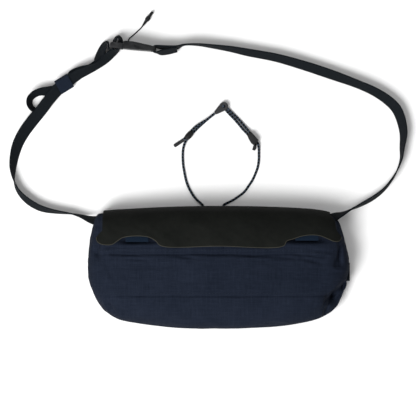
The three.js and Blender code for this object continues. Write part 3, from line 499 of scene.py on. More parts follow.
def band_section(width, thick, flats=12, rounds=3):
    """Section of a webbing: two flat faces and round edges."""
    radius = thick / 2
    half = width / 2 - radius
    face = [(mix(-half, half, k / flats), radius) for k in range(flats + 1)]
    turns = [math.pi * k / (rounds + 1) for k in range(1, rounds + 1)]
    edge = [(half + radius * math.sin(t), radius * math.cos(t)) for t in turns]
    return face + edge + [(-a, -f) for a, f in face] + [(-a, -f) for a, f in edge]


def round_section(diameter, sides=14):
    turns = [2 * math.pi * k / sides for k in range(sides)]
    return [(math.cos(t) * diameter / 2, math.sin(t) * diameter / 2) for t in turns]


def with_ways(points):
    """Each point of a line, with the line's direction there."""
    last = len(points) - 1
    return [(point, (points[min(k + 1, last)] - points[max(k - 1, 0)]).normalized())
            for k, point in enumerate(points)]


def side_frames(points):
    """Frames along a line that lies nearly flat, with across to its left."""
    frames = []
    for point, along in with_ways(points):
        across = UP.cross(along).normalized()
        frames.append((point, across, along.cross(across)))
    return frames


def fine_line(points, step=0.5):
    """Points at even steps on the smooth curve through a list of points."""
    rough = [Vector(point) for point in points]
    samples = 20
    dense = [curve_point(rough, k / samples) for k in range(samples * (len(rough) - 1) + 1)]
    length = sum((b - a).length for a, b in zip(dense, dense[1:]))
    count = max(2, round(length / step))
    line = [dense[0]]
    walked = 0.0
    for a, b in zip(dense, dense[1:]):
        walked += (b - a).length
        while len(line) < count and walked >= len(line) * length / count:
            line.append(b.copy())
    line.append(dense[-1])
    return line


def turned(profile, place, steps=28):
    """A turned solid from a profile of distance and radius, laid along X and then moved."""
    bm = bmesh.new()
    verts = [bm.verts.new((x, 0, radius)) for x, radius in profile]
    edges = [bm.edges.new(pair) for pair in zip(verts, verts[1:])]
    bmesh.ops.spin(bm, geom=verts + edges, cent=(0, 0, 0), axis=(1, 0, 0),
                   angle=2 * math.pi, steps=steps, use_merge=True)
    bmesh.ops.remove_doubles(bm, verts=bm.verts, dist=1e-4)
    bmesh.ops.recalc_face_normals(bm, faces=bm.faces)
    bmesh.ops.transform(bm, matrix=place, verts=bm.verts)
    return bm


def laid(x, y, degrees, z=0.0):
    return Matrix.Translation((x, y, z)) @ Matrix.Rotation(math.radians(degrees), 4, "Z")


def object_of(name, bm, looks):
    """An object in the scene from a shape, with its looks in order."""
    mesh = bpy.data.meshes.new(name)
    bm.to_mesh(mesh)
    bm.free()
    for look in looks:
        mesh.materials.append(look)
    obj = bpy.data.objects.new(name, mesh)
    bpy.context.collection.objects.link(obj)
    return obj


def make(name, bm, looks, nodes=(), sharp=None):
    """Makes a piece in metres from a shape in millimetres, and puts it on the frame."""
    bmesh.ops.scale(bm, vec=(MM, MM, MM), verts=bm.verts)
    obj = object_of(name, bm, looks)
    obj.data.shade_smooth()
    if sharp:
        obj.data.set_sharp_from_angle(angle=math.radians(sharp))
    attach(obj, "root")
    if nodes:
        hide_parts(*nodes)
    return obj


def softened(node, radius, segments=3, angle=32):
    """A moulded piece from a CAD node's shape, with its edges rounded."""
    bm = bmesh.new()
    bm.from_mesh(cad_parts[node].data)
    bmesh.ops.scale(bm, vec=(1 / MM, 1 / MM, 1 / MM), verts=bm.verts)
    bmesh.ops.remove_doubles(bm, verts=bm.verts, dist=1e-3)
    bmesh.ops.dissolve_limit(bm, angle_limit=math.radians(1), verts=bm.verts, edges=bm.edges)
    edges = [edge for edge in bm.edges
             if len(edge.link_faces) == 2 and edge.calc_face_angle(0) > math.radians(angle)]
    bmesh.ops.bevel(bm, geom=edges, offset=radius, offset_type="OFFSET", segments=segments,
                    profile=0.5, affect="EDGES", material=-1, clamp_overlap=True)
    return bm


# Looks

class Look:
    """A material, with short ways to add its nodes."""

    def __init__(self, name, roughness, specular):
        self.material = bpy.data.materials.new(name)
        self.material.use_nodes = True
        self.tree = self.material.node_tree
        self.shader = self.tree.nodes["Principled BSDF"]
        self.shader.inputs["Roughness"].default_value = roughness
        self.shader.inputs["Specular IOR Level"].default_value = specular

    def node(self, kind, inputs=None, **settings):
        """A node with its inputs linked or set, by name or number."""
        node = self.tree.nodes.new("ShaderNode" + kind)
        for name, value in settings.items():
            setattr(node, name, value)
        for name, value in (inputs or {}).items():
            if isinstance(value, bpy.types.NodeSocket):
                self.tree.links.new(value, node.inputs[name])
            else:
                node.inputs[name].default_value = value
        return node

    def coords(self, kind):
        return self.node("TexCoord").outputs[kind]

    def maths(self, operation, a, b=0.0, c=0.0):
        return self.node("Math", {0: a, 1: b, 2: c}, operation=operation).outputs[0]

    def split(self, vector):
        return self.node("SeparateXYZ", {0: vector}).outputs

    def waves(self, value, period):
        """A smooth wave from 0 to 1 along a length."""
        turn = self.maths("MULTIPLY", value, 2 * math.pi / period)
        return self.maths("MULTIPLY_ADD", self.maths("SINE", turn), 0.5, 0.5)

    def stretched(self, vector, x, y, z=1.0):
        """The same place with each axis scaled on its own."""
        return self.node("Mapping", {"Vector": vector, "Scale": (x, y, z)}).outputs[0]

    def clouds(self, vector, scale, detail=3.0, rough=0.5):
        inputs = {"Vector": vector, "Scale": scale, "Detail": detail, "Roughness": rough}
        return self.node("TexNoise", inputs).outputs["Fac"]

    def band(self, value, low, high, to_low=0.0, to_high=1.0):
        """The part of a value from low to high, stretched to run from to_low to to_high."""
        inputs = {0: value, 1: low, 2: high, 3: to_low, 4: to_high}
        return self.node("MapRange", inputs).outputs[0]

    def blend(self, share, a, b):
        """A colour between two, which are inputs 6 and 7 of the Mix node."""
        return self.node("Mix", {0: share, 6: a, 7: b}, data_type="RGBA").outputs[2]

    def finish(self, colour, height=None, distance=0.0001, strength=1.0, roughness=None):
        if isinstance(colour, bpy.types.NodeSocket):
            self.tree.links.new(colour, self.shader.inputs["Base Color"])
        else:
            self.shader.inputs["Base Color"].default_value = colour
        if roughness is not None:
            self.tree.links.new(roughness, self.shader.inputs["Roughness"])
        if height is not None:
            inputs = {"Height": height, "Distance": distance, "Strength": strength}
            bump = self.node("Bump", inputs)
            self.tree.links.new(bump.outputs[0], self.shader.inputs["Normal"])
        return self.material


def cloth_look():
    """Plain-woven navy cloth with a faint grid of thicker threads and uneven yarns."""
    look = Look("navy_cloth", 0.85, 0.03)
    uv_map = look.coords("UV")
    uv = look.split(uv_map)
    place = look.coords("Object")
    threads = look.maths("MULTIPLY", look.waves(uv[0], 0.85), look.waves(uv[1], 0.85))
    grid = look.maths("MAXIMUM", look.maths("POWER", look.waves(uv[0], 5.1), 14.0),
                      look.maths("POWER", look.waves(uv[1], 5.1), 14.0))
    weave = look.maths("MULTIPLY_ADD", grid, 0.35, threads)
    yarns_up = look.clouds(look.stretched(uv_map, 1.3, 0.07), 1.0, 2.0)
    yarns_across = look.clouds(look.stretched(uv_map, 0.07, 1.3), 1.0, 2.0)
    slubs = look.maths("MULTIPLY", look.maths("ADD", yarns_up, yarns_across), 0.5)
    crumple = look.clouds(look.stretched(place, 60.0, 150.0, 150.0), 1.0, 3.0, 0.55)
    mottle = look.band(look.clouds(place, 24.0, 4.0, 0.6), 0.3, 0.7)
    tone = look.maths("MULTIPLY_ADD", mottle, 0.30, look.maths("MULTIPLY", weave, 0.35))
    tone = look.maths("MULTIPLY_ADD", look.band(slubs, 0.35, 0.65), 0.55, tone)
    height = look.maths("MULTIPLY_ADD", slubs, 0.8, weave)
    height = look.maths("MULTIPLY_ADD", crumple, 9.0, height)
    colour = look.blend(tone, (0.0036, 0.0055, 0.0105, 1), (0.0108, 0.0142, 0.0240, 1))
    return look.finish(colour, height, 0.00010, 0.9)


def facing_look(name, dark, light):
    """Thin matt facing with a short nap and soft mottling."""
    look = Look(name, 0.8, 0.04)
    place = look.coords("Object")
    grain = look.clouds(place, 1500.0, 3.0, 0.6)
    nap = look.clouds(place, 210.0, 3.0, 0.6)
    mottle = look.band(look.clouds(place, 32.0, 5.0, 0.62), 0.32, 0.68)
    tone = look.maths("MULTIPLY_ADD", nap, 0.5, look.maths("MULTIPLY", mottle, 0.5))
    height = look.maths("MULTIPLY_ADD", grain, 0.6, nap)
    return look.finish(look.blend(tone, dark, light), height, 0.00012, 0.6)


def webbing_look(name, dark, light):
    """Woven webbing: chevrons of ribs, with flat edges."""
    look = Look(name, 0.78, 0.05)
    uv = look.split(look.coords("UV"))
    place = look.coords("Object")
    zigzag = look.maths("PINGPONG", uv[0], 1.9)
    ribs = look.waves(look.maths("MULTIPLY_ADD", zigzag, 0.75, uv[1]), 1.05)
    cords = look.waves(uv[0], 0.63)
    weave = look.maths("MULTIPLY_ADD", cords, 0.35, ribs)
    fuzz = look.clouds(place, 700.0, 2.0)
    tone = look.maths("MULTIPLY_ADD", fuzz, 0.5, look.maths("MULTIPLY", weave, 0.4))
    height = look.maths("MULTIPLY_ADD", fuzz, 0.25, weave)
    return look.finish(look.blend(tone, dark, light), height, 0.00022, 0.8)


def plastic_look(name, dark, light, roughness=0.42):
    """Moulded plastic with a fine spark-eroded texture and faint flow marks."""
    look = Look(name, roughness, 0.07)
    place = look.coords("Object")
    grain = look.clouds(place, 2600.0, 2.0)
    marks = look.clouds(place, 90.0, 3.0)
    tone = look.band(marks, 0.35, 0.65)
    rough = look.band(grain, 0.3, 0.7, roughness - 0.05, roughness + 0.1)
    return look.finish(look.blend(tone, dark, light), grain, 0.00006, 0.5, rough)


def elastic_look():
    """Braided elastic: black strands that cross, with chevrons of a blue yarn."""
    look = Look("elastic_braid", 0.75, 0.04)
    uv = look.split(look.coords("UV"))
    quarter = math.pi * CORD_SPREAD * CORD_DIAMETER / 4
    off_top = look.maths("ABSOLUTE", look.maths("SUBTRACT", uv[0], quarter))
    chevron = look.maths("MULTIPLY_ADD", off_top, 0.35, uv[1])
    lean = look.maths("MULTIPLY", uv[0], 0.36)
    braid = look.maths("MAXIMUM", look.waves(look.maths("ADD", uv[1], lean), 1.1),
                       look.waves(look.maths("SUBTRACT", uv[1], lean), 1.1))
    fleck = look.band(look.waves(chevron, 3.8), 0.52, 0.68)
    fleck = look.maths("MULTIPLY", fleck, look.band(braid, 0.3, 0.8, 0.5, 1.0))
    colour = look.blend(fleck, (0.0008, 0.0010, 0.0016, 1), (0.0480, 0.0640, 0.0860, 1))
    return look.finish(colour, braid, 0.0003, 0.9)


def string_look():
    """Thin black laid string."""
    look = Look("black_string", 0.8, 0.04)
    uv = look.split(look.coords("UV"))
    strands = look.waves(look.maths("MULTIPLY_ADD", uv[0], 0.7, uv[1]), 1.1)
    colour = look.blend(strands, (0.0010, 0.0011, 0.0013, 1), (0.0090, 0.0100, 0.0120, 1))
    return look.finish(colour, strands, 0.0002, 0.9)


def zip_look():
    """Zip tape with two rows of moulded teeth that meet in the middle."""
    look = Look("zip_chain", 0.6, 0.3)
    place = look.split(look.coords("Object"))
    middle = look.maths("ABSOLUTE", look.maths("SUBTRACT", place[1], ZIP_CENTRE * MM))
    chain = look.band(middle, 0.0018, 0.0022, 1.0, 0.0)
    teeth = look.maths("MULTIPLY", look.waves(place[0], 0.0012), chain)
    tape = look.waves(place[0], 0.0006)
    height = look.maths("MULTIPLY_ADD", tape, 0.15, teeth)
    colour = look.blend(chain, (0.010, 0.013, 0.022, 1), (0.020, 0.021, 0.024, 1))
    return look.finish(colour, height, 0.0005, 0.9)


# Camera, floor and lights

def camera():
    data = bpy.data.cameras.new("camera")
    data.sensor_width = SENSOR
    data.lens = SENSOR * CAMERA_HEIGHT / VIEW_WIDTH
    data.clip_end = 20
    obj = bpy.data.objects.new("camera", data)
    obj.location = Vector((*VIEW_CENTRE, CAMERA_HEIGHT)) * MM
    bpy.context.collection.objects.link(obj)
    bpy.context.scene.camera = obj


def floor():
    bm = bmesh.new()
    bmesh.ops.create_grid(bm, x_segments=1, y_segments=1, size=3)
    object_of("floor", bm, [Look("pale_floor", 0.9, 0.05).finish(FLOOR_TONE)])


def lamp(name, place, aim, size, watts):
    data = bpy.data.lights.new(name, "AREA")
    data.size = size
    data.energy = watts
    obj = bpy.data.objects.new(name, data)
    obj.location = place
    obj.rotation_euler = (Vector(aim) - Vector(place)).to_track_quat("-Z", "Y").to_euler()
    bpy.context.collection.objects.link(obj)


def studio():
    world = bpy.data.worlds.new("studio")
    world.use_nodes = True
    sky = world.node_tree.nodes["Background"]
    sky.inputs[0].default_value = (1, 1, 1, 1)
    sky.inputs[1].default_value = SKY_STRENGTH
    bpy.context.scene.world = world
    bpy.context.scene.view_settings.view_transform = "Standard"
    lamp("softbox", (-0.82, -0.78, 1.65), (0, 0.07, 0), 1.0, 67)
    lamp("fill", (0.35, 0.70, 1.9), (0, 0.07, 0), 1.4, 9)


# Cords

def cord(name, points, diameter, nodes, look):
    """A cord along its table, a little thicker than its diameter."""
    line = fine_line(points)
    shape = swept(round_section(CORD_SPREAD * diameter), side_frames(line))
    obj = make(name, shape, [look], nodes)


def elastic_cords(look):
    """Each side of the elastic runs out to the hook and turns back to its cap."""
    cord("elastic_left_run", ELASTIC_LEFT, CORD_DIAMETER, ["elastic_left"],
         look)
    cord("elastic_left_return", ELASTIC_LEFT_END, CORD_DIAMETER, ["elastic_left_end"],
         look)
    cord("elastic_right_run", ELASTIC_RIGHT, CORD_DIAMETER, ["elastic_right"], look)
    eye_fold(look)
    cord("elastic_right_return", ELASTIC_RIGHT_END, CORD_DIAMETER, ["elastic_right_end"],
         look)


def pull_string(look):
    """The thin cord from the buckle, which runs on inside its tab."""
    end = Vector(PULL_CORD[-1])
    inside_tab = [end + TAB_WAY * reach for reach in (3, 7.5)]
    cord("pull_string", PULL_CORD + inside_tab, PULL_DIAMETER, ["pull_cord"], look)


# What is on the cords

# Profiles of the turned pieces: way along the axis and radius in millimetres
BEAD_PROFILE = [(-5.5, 0), (-5.5, 2.4), (-5.1, 2.8), (-4.0, 3.15), (-2.2, 3.5), (0, 3.6),
                (2.2, 3.5), (4.0, 3.15), (5.1, 2.8), (5.5, 2.4), (5.5, 0)]
CAP_PROFILE = [(-0.6, 0), (-0.6, 1.5), (-0.2, 1.8), (1.6, 1.95), (1.9, 1.75), (2.3, 1.75), (2.6, 2.0),
               (3.6, 2.0), (3.9, 1.8), (4.3, 1.8), (4.6, 2.05), (11.4, 2.05), (12.0, 1.9),
               (12.5, 1.5), (12.5, 0)]
LOCK_CAP_PROFILE = [(x / 2, 0.9 * radius) for x, radius in CAP_PROFILE]
TAB_PROFILE = [(0, 0), (0, 0.8), (0.4, 0.95), (4.2, 1.5), (7.6, 1.9), (7.9, 2.1), (8.5, 2.6),
               (9.2, 2.7), (11.6, 2.7), (12.3, 2.55), (12.9, 1.9), (13.3, 1.75), (19.2, 1.75),
               (19.7, 1.6), (20.0, 1.3), (20.0, 0)]
TAB_WAY = Vector((0.58, 0.81, 0.12))

# Where the right elastic turns back, as in the cords' tables
EYE_FOLD = [(11.6, 181.2, 2.3), (9.6, 183.4, 3.0), (7.6, 184.9, 3.6), (6.0, 185.3, 4.2), (5.2, 184.3, 4.4),
            (5.8, 183.2, 4.0), (7.4, 181.6, 3.0), (9.2, 179.6, 2.2)]


def eye_fold(look):
    """The elastic where it turns back through the hook's eye."""
    shape = swept(round_section(FOLD_DIAMETER), side_frames(fine_line(EYE_FOLD)))
    make("elastic_fold", shape, [look])


def cord_pieces(plastic, dark_plastic):
    """Bead, caps, lock, hook and pull tab, each in place of its CAD node."""
    low = FLOOR_GAP
    make("bead", turned(BEAD_PROFILE, laid(-33.9, 151.3, 48, 3.7 + low)), [dark_plastic],
         ["cord_bead"])
    make("left_cap", turned(CAP_PROFILE, laid(-40.6, 145.8, 213, 2.1 + low)), [plastic],
         ["cord_cap_left"])
    make("right_cap", turned(LOCK_CAP_PROFILE, laid(41.9, 140.2, 256, 2.1 + low)), [plastic],
         ["cord_cap_right"])
    make("tab", turned(TAB_PROFILE, laid(-87.3, 276.9, 54.5, 2.7 + low)), [dark_plastic],
         ["pull_tab"], sharp=50)
    make("lock", softened("cord_lock", 0.8), [dark_plastic], ["cord_lock"], sharp=50)
    make("hook", softened("cord_hook", 0.9), [plastic], ["cord_hook"], sharp=50)


# The bag's body

COLUMNS = 190
FRONT_STEPS = 78
RIDGE_STEPS = 24
OUTLINE_SMOOTHING = 5
# At the ends, below this sine of a column's turn, the top's side view blends into the low one's
END_BLEND = 0.42
# Height above which the cloth's pattern is laid on from the front, as a share of the depth
FRONT_LEVEL = 0.62
# Middle and low end of each webbing loop
LOOP_PLACES = [(-0.614 * HALF_WIDTH, 0.42 * HALF_HEIGHT), (0.663 * HALF_WIDTH, 0.44 * HALF_HEIGHT)]


def outline_heights(column_of_table):
    """Height of the outline above or below the middle at each column of the skin."""
    turns = [math.acos(-row[0]) for row in OUTLINE]
    values = [row[column_of_table] for row in OUTLINE]
    heights = []
    for column in range(COLUMNS + 1):
        turn = math.pi * column / COLUMNS
        row = max(k for k in range(len(turns) - 1) if turns[k] <= turn + 1e-9)
        place = row + (turn - turns[row]) / (turns[row + 1] - turns[row])
        heights.append(between(values, place) * HALF_HEIGHT)
    for _ in range(OUTLINE_SMOOTHING):
        inner = [(a + 2 * b + c) / 4 for a, b, c in zip(heights, heights[1:], heights[2:])]
        heights = [heights[0], *inner, heights[-1]]
    return heights


def stations():
    """Places round the outline: x, y, foot on the ridge, height of the crown, share of the top."""
    top_column, low_column = 1, 2
    top, low = outline_heights(top_column), outline_heights(low_column)
    low[0], low[-1] = top[0], top[-1]
    around = [(column, top, 1) for column in range(COLUMNS + 1)]
    around += [(column, low, -1) for column in range(COLUMNS - 1, 0, -1)]
    found = []
    for column, heights, sign in around:
        turn = math.pi * column / COLUMNS
        x = -math.cos(turn)
        share = 0.5 + 0.5 * sign * min(1.0, math.sin(turn) / END_BLEND)
        crown = DEPTH * (1 - RIDGE_FALL * x * x)
        found.append((x * HALF_WIDTH, heights[column], x * RIDGE * HALF_WIDTH, crown, smooth(share)))
    return found


STATIONS = stations()


def away_from(x, y, x1, y1, x2, y2):
    """Distance from a stretch, and how far along it the nearest point is."""
    dx, dy = x2 - x1, y2 - y1
    along = ((x - x1) * dx + (y - y1) * dy) / (dx * dx + dy * dy)
    near = min(max(along, 0.0), 1.0)
    return math.hypot(x - x1 - near * dx, y - y1 - near * dy), near


def dent(x, y):
    """How deep the soft body is pressed in at a place."""
    depth = 0.0
    for x1, y1, x2, y2, reach, deep in DENTS:
        away, _ = away_from(x, y, x1 * HALF_WIDTH, y1 * HALF_HEIGHT, x2 * HALF_WIDTH, y2 * HALF_HEIGHT)
        away /= reach * HALF_HEIGHT
        if away < 3:
            depth += deep * DEPTH * math.exp(-away * away)
    return depth


def skin_point(station, reach, height):
    """A point of the smooth skin, with the dents left out near the widest line and the floor."""
    x_out, y_out, foot, crown, _ = station
    x = mix(foot, x_out, reach)
    y = y_out * reach
    sunk = smooth((1 - reach) / 0.05) * smooth((height - 0.1) / 0.5) * dent(x, y)
    return Vector((x, y, crown * height - sunk))


def side_profile(column, count):
    """Reaches and heights at even steps of cloth along one side of the front's table."""
    samples = 40
    places = [k / samples for k in range(samples * (len(FRONT_ROWS) - 1) + 1)]
    reaches = [row[column] for row in FRONT_ROWS]
    heights = [row[column + 1] for row in FRONT_ROWS]
    pairs = [(between(reaches, place), between(heights, place)) for place in places]
    walked = [0.0]
    for a, b in zip(pairs, pairs[1:]):
        walked.append(walked[-1] + math.hypot((b[0] - a[0]) * HALF_HEIGHT, (b[1] - a[1]) * DEPTH))
    found = [pairs[0]]
    for pair, length in zip(pairs, walked):
        if length >= len(found) * walked[-1] / count and len(found) < count:
            found.append(pair)
    return found + [pairs[-1]]


def front_rows():
    """Rows of the skin from the edge of the back, over the widest line, to the crown's ridge."""
    rows = [[skin_point(station, reach, height) for station in STATIONS]
            for reach, height in SKIRT_ROWS]
    top_column, low_column = 0, 2
    for top, low in zip(side_profile(top_column, FRONT_STEPS), side_profile(low_column, FRONT_STEPS)):
        rows.append([
            skin_point(station, mix(low[0], top[0], station[4]), mix(low[1], top[1], station[4]))
            for station in STATIONS])
    end = FRONT_ROWS[-1]
    for step in range(1, RIDGE_STEPS + 1):
        share = 1 - step / RIDGE_STEPS
        row = []
        for station in STATIONS:
            reach = mix(end[2], end[0], station[4]) * share
            height = mix(1.0, mix(end[3], end[1], station[4]), share)
            row.append(skin_point(station, reach, height))
        rows.append(row)
    return rows


def cloth_uvs(bm, rows):
    """Lengths in millimetres along the cloth: plan places on the front, outline and climb on the
    sides below it."""
    uv = bm.loops.layers.uv["UVMap"]
    row_layer = bm.verts.layers.int["row"]
    spot_layer = bm.verts.layers.int["spot"]
    count = len(rows[0])
    level = FRONT_LEVEL * DEPTH * count
    front_from = next(n for n, row in enumerate(rows) if sum(point.z for point in row) > level)
    around = [0.0]
    ring = rows[front_from] + rows[front_from][:1]
    for a, b in zip(ring, ring[1:]):
        around.append(around[-1] + (b - a).length)
    climbs = [[0.0] * count]
    for lower, upper in zip(rows, rows[1:]):
        climbs.append([climb + (b - a).length for climb, a, b in zip(climbs[-1], lower, upper)])
    for face in bm.faces:
        spots = [loop.vert[spot_layer] for loop in face.loops]
        wraps = max(spots) - min(spots) > count / 2
        front = min(loop.vert[row_layer] for loop in face.loops) >= front_from
        for loop, spot in zip(face.loops, spots):
            row = loop.vert[row_layer]
            if front:
                loop[uv].uv = rows[row][spot].xy
            else:
                end = count if wraps and spot == 0 else spot
                loop[uv].uv = (around[end], climbs[row][spot])


def lip(y, edge, reach):
    """Profile of a lapped seam whose upper cloth lies on the lower: it rises to the edge, then
    drops."""
    step = 0.9
    if y > edge:
        return math.exp(-(y - edge) / reach)
    return 1 - smooth((edge - y) / step)


def signed_away(x, y, x1, y1, x2, y2):
    """Distance from a line, more than nothing on its left, and the share along it."""
    dx, dy = x2 - x1, y2 - y1
    length = math.hypot(dx, dy)
    return (dx * (y - y1) - dy * (x - x1)) / length, (dx * (x - x1) + dy * (y - y1)) / length ** 2


def fold_drop(x, y):
    """Low side of each fold, and the small roll of cloth along its high side."""
    height = 0.0
    for x1, y1, x2, y2, drop, reach in FOLDS:
        away, along = signed_away(x, y, x1, y1, x2, y2)
        if abs(away) > 4 * reach or not -0.6 < along < 1.6:
            continue
        taper = smooth((along + 0.45) / 0.5) * smooth((1.45 - along) / 0.5)
        if away > 0:
            height += drop * taper * smooth(away / (0.3 * reach)) * math.exp(-away / reach)
        else:
            height -= 0.14 * drop * taper * math.exp(-(away / 3.0) ** 2)
    return height


def fade(x, left, right):
    """1 along a seam, and 0 a little way past its ends."""
    return smooth((x - left) / 9 + 1) * smooth((right - x) / 9 + 1)


def puckers(x, y, edge, seed):
    """Small gathers along a seam."""
    wave = noise.noise(Vector((x / 4.2, seed, 0))) + 0.6 * noise.noise(Vector((x / 9.0, seed, 4.0)))
    return wave * math.exp(-abs(y - edge) / 4.5)


def hem_at(x):
    """Height of the hem's edge above the middle: it falls towards the right."""
    return HEM["y"] - HEM["fall"] * smooth((x - HEM["fall_from"]) / (HEM["fall_to"] - HEM["fall_from"]))


def groove(y, middle, width):
    return math.exp(-((y - middle) / width) ** 2)


def seam_relief(x, y):
    """The hem of the upper panel and the lapped low seam, each with its gathers."""
    hem = hem_at(x)
    shown = fade(x, HEM["left"], HEM["right"])
    height = shown * HEM["lip"] * lip(y, hem, 4.5)
    height -= shown * (0.9 * groove(y, hem - 2.0, 1.5) + 1.0 * groove(y, hem + 4.9, 1.7))
    height += shown * 0.45 * puckers(x, y, hem, 2.0)
    shown = fade(x, SEAM["left"], SEAM["right"])
    height += shown * SEAM["lip"] * lip(y, SEAM["y"], 4.0)
    height -= shown * 0.55 * groove(y, SEAM["y"] - 1.5, 1.2)
    return height + shown * 0.12 * puckers(x, y, SEAM["y"], 7.0)


def wrinkles(x, y):
    """Each wrinkle is a narrow trough with a low roll of cloth beside it."""
    height = 0.0
    for x1, y1, x2, y2, width, depth in WRINKLES:
        away, along = away_from(x, y, x1, y1, x2, y2)
        if away < 3 * width:
            taper = 0.25 + 0.75 * math.sin(math.pi * along)
            across = away / width
            ridge = math.exp(-(across - 1.7) ** 2)
            height -= WRINKLE_DEPTH * depth * taper * (math.exp(-across * across) - 0.35 * ridge)
    return height


def pockets(x, y):
    """The cloth sinks under the webbing loops."""
    half_width, half_height, above = 23, 8.5, 7
    share = 0.0
    for loop_x, low in LOOP_PLACES:
        share += math.exp(-((x - loop_x) / half_width) ** 4 - ((y - low - above) / half_height) ** 4)
    return -POCKET_DEPTH * share


def relief(point, normal):
    """How far the cloth moves off its smooth shape: folds sink, all else stands along its face."""
    x, y, z = point
    broad, fine = 1.25, 0.40
    height = broad * noise.fractal(Vector((x / 58, y / 25, z / 30 + 3)), 1.0, 2.0, 4)
    height += fine * noise.noise(Vector((x / 15, y / 6.5, z / 9 + 8)))
    height *= smooth((z - 6) / 24)
    height += smooth((z - 30) / 14) * (seam_relief(x, y) + pockets(x, y))
    height += smooth((z - 12) / 10) * wrinkles(x, y)
    return normal * height + UP * smooth((z - 16) / 14) * fold_drop(x, y)


def moved(bm, moves):
    """Moves each vertex of a skin by its own vector."""
    for vert, move in moves:
        vert.co += move
    bm.normal_update()


def body_skin(relieved=True):
    """The front, ends and gussets as one skin, with its wrinkles and seams or without."""
    rows = front_rows()
    bm = loft(rows)
    cloth_uvs(bm, rows)
    bmesh.ops.remove_doubles(bm, verts=bm.verts, dist=0.004)
    bmesh.ops.recalc_face_normals(bm, faces=bm.faces)
    bm.normal_update()
    if sum(face.normal.z for face in bm.faces) < 0:
        bmesh.ops.reverse_faces(bm, faces=bm.faces)
        bm.normal_update()
    if relieved:
        moved(bm, [(vert, relief(vert.co, vert.normal)) for vert in bm.verts])
    return bm


def cut_zip_slot(bm, keep_inside=False):
    """Cuts the slot for the zip out of the skin, or keeps only what lies inside it."""
    half_x, half_y = ZIP_LENGTH / 2, ZIP_WIDTH / 2

    def near(centre, margin):
        return (abs(centre.x) < half_x + margin and abs(centre.y - ZIP_CENTRE) < half_y + margin
                and centre.z > 0.4 * DEPTH)

    planes = [((half_x, 0, 0), (1, 0, 0)), ((-half_x, 0, 0), (-1, 0, 0)),
              ((0, ZIP_CENTRE + half_y, 0), (0, 1, 0)), ((0, ZIP_CENTRE - half_y, 0), (0, -1, 0))]
    for place, way in planes:
        faces = [face for face in bm.faces if near(face.calc_center_median(), 3)]
        edges = {edge for face in faces for edge in face.edges}
        verts = {vert for face in faces for vert in face.verts}
        bmesh.ops.bisect_plane(bm, geom=[*faces, *edges, *verts], plane_co=place, plane_no=way)
    inside = [face for face in bm.faces if near(face.calc_center_median(), 0)]
    if keep_inside:
        kept = set(inside)
        inside = [face for face in bm.faces if face not in kept]
    bmesh.ops.delete(bm, geom=inside, context="FACES")


def thicken(obj, wall):
    """Gives a skin its thickness inwards."""
    solid = obj.modifiers.new("wall", "SOLIDIFY")
    solid.thickness = wall
    solid.offset = -1


def body(cloth):
    """The bag's cloth. Gives back its surface, which the stitches lie on."""
    bm = body_skin()
    tree = BVHTree.FromBMesh(bm)
    cut_zip_slot(bm)
    thicken(make("bag_cloth", bm, [cloth], ["bag_shell"]), CLOTH_WALL * MM)
    return tree


def smooth_tree():
    """The bag's shape without its wrinkles, for what bridges them."""
    bm = body_skin(relieved=False)
    tree = BVHTree.FromBMesh(bm)
    bm.free()
    return tree


def zip_closure(look):
    """The zip that closes the slot: tape a little under the cloth, teeth nearly level with it."""
    bm = body_skin(relieved=False)
    cut_zip_slot(bm, keep_inside=True)
    for vert in bm.verts:
        teeth = math.exp(-((vert.co.y - ZIP_CENTRE) / 1.8) ** 4)
        vert.co -= vert.normal * (ZIP_THICK - 0.7 * teeth)
    thicken(make("zip_tape", bm, [look], ["zip"]), ZIP_THICK * MM)


def back(cloth):
    """The flat back, a thin padded slab with a rounded edge."""
    rows = [[Vector((mix(foot, x, reach), y * reach, height)) for x, y, foot, _, _ in STATIONS[::2]]
            for reach, height in BACK_ROWS]
    bm = loft(rows, uvs=[[(p.x, p.y) for p in row + row[:1]] for row in rows])
    bmesh.ops.remove_doubles(bm, verts=bm.verts, dist=0.0035)
    bmesh.ops.recalc_face_normals(bm, faces=bm.faces)
    make("back_cloth", bm, [cloth], ["back_panel"])


# The flap

FLAP_STEPS = 8
FLAP_LOWEST = 0.22 * HALF_HEIGHT
FLAP_LEVEL = 6


def flap_outline():
    """The cut edge from left to right, and two corners beyond the bag's top."""
    rough = [Vector((x * HALF_WIDTH, y * HALF_HEIGHT, 0)) for x, y in FLAP_EDGE]
    line = [curve_point(rough, k / FLAP_STEPS) for k in range(FLAP_STEPS * (len(rough) - 1) + 1)]
    top = HALF_HEIGHT + 30
    return line + [Vector((line[-1].x, top, 0)), Vector((line[0].x, top, 0))]


def flap_stand(point):
    """How far the flap's inner face stands off the bag: close at the seam, more over the loops."""
    at_seam, over_bag, over_loop = 0.5, 2.0, 0.9
    x, y, _ = point
    down = smooth((0.98 - y / HALF_HEIGHT) / 0.12)
    stand = mix(at_seam, over_bag, down)
    for loop_x, low in LOOP_PLACES:
        away = math.hypot((x - loop_x) / 24, (y - low - 12) / 17)
        stand += over_loop * down * math.exp(-away ** 4)
    stand += 0.35 * down * noise.noise(Vector((x / 34, y / 20, 9.0)))
    stand += 0.18 * down * noise.noise(Vector((x / 11, y / 9, 5.0)))
    return stand


def flap_dents(point):
    """Shallow slanting dents of the facing, deepest where it bends over the bag's top."""
    depth = 0.75
    x, y, _ = point
    slant = (x + 1.6 * y) / 34
    height = noise.fractal(Vector((slant, (y - 0.3 * x) / 60, 7.0)), 1.0, 2.0, 3)
    return depth * max(0.0, height + 0.35) * smooth((0.93 * HALF_HEIGHT - y) / 14)


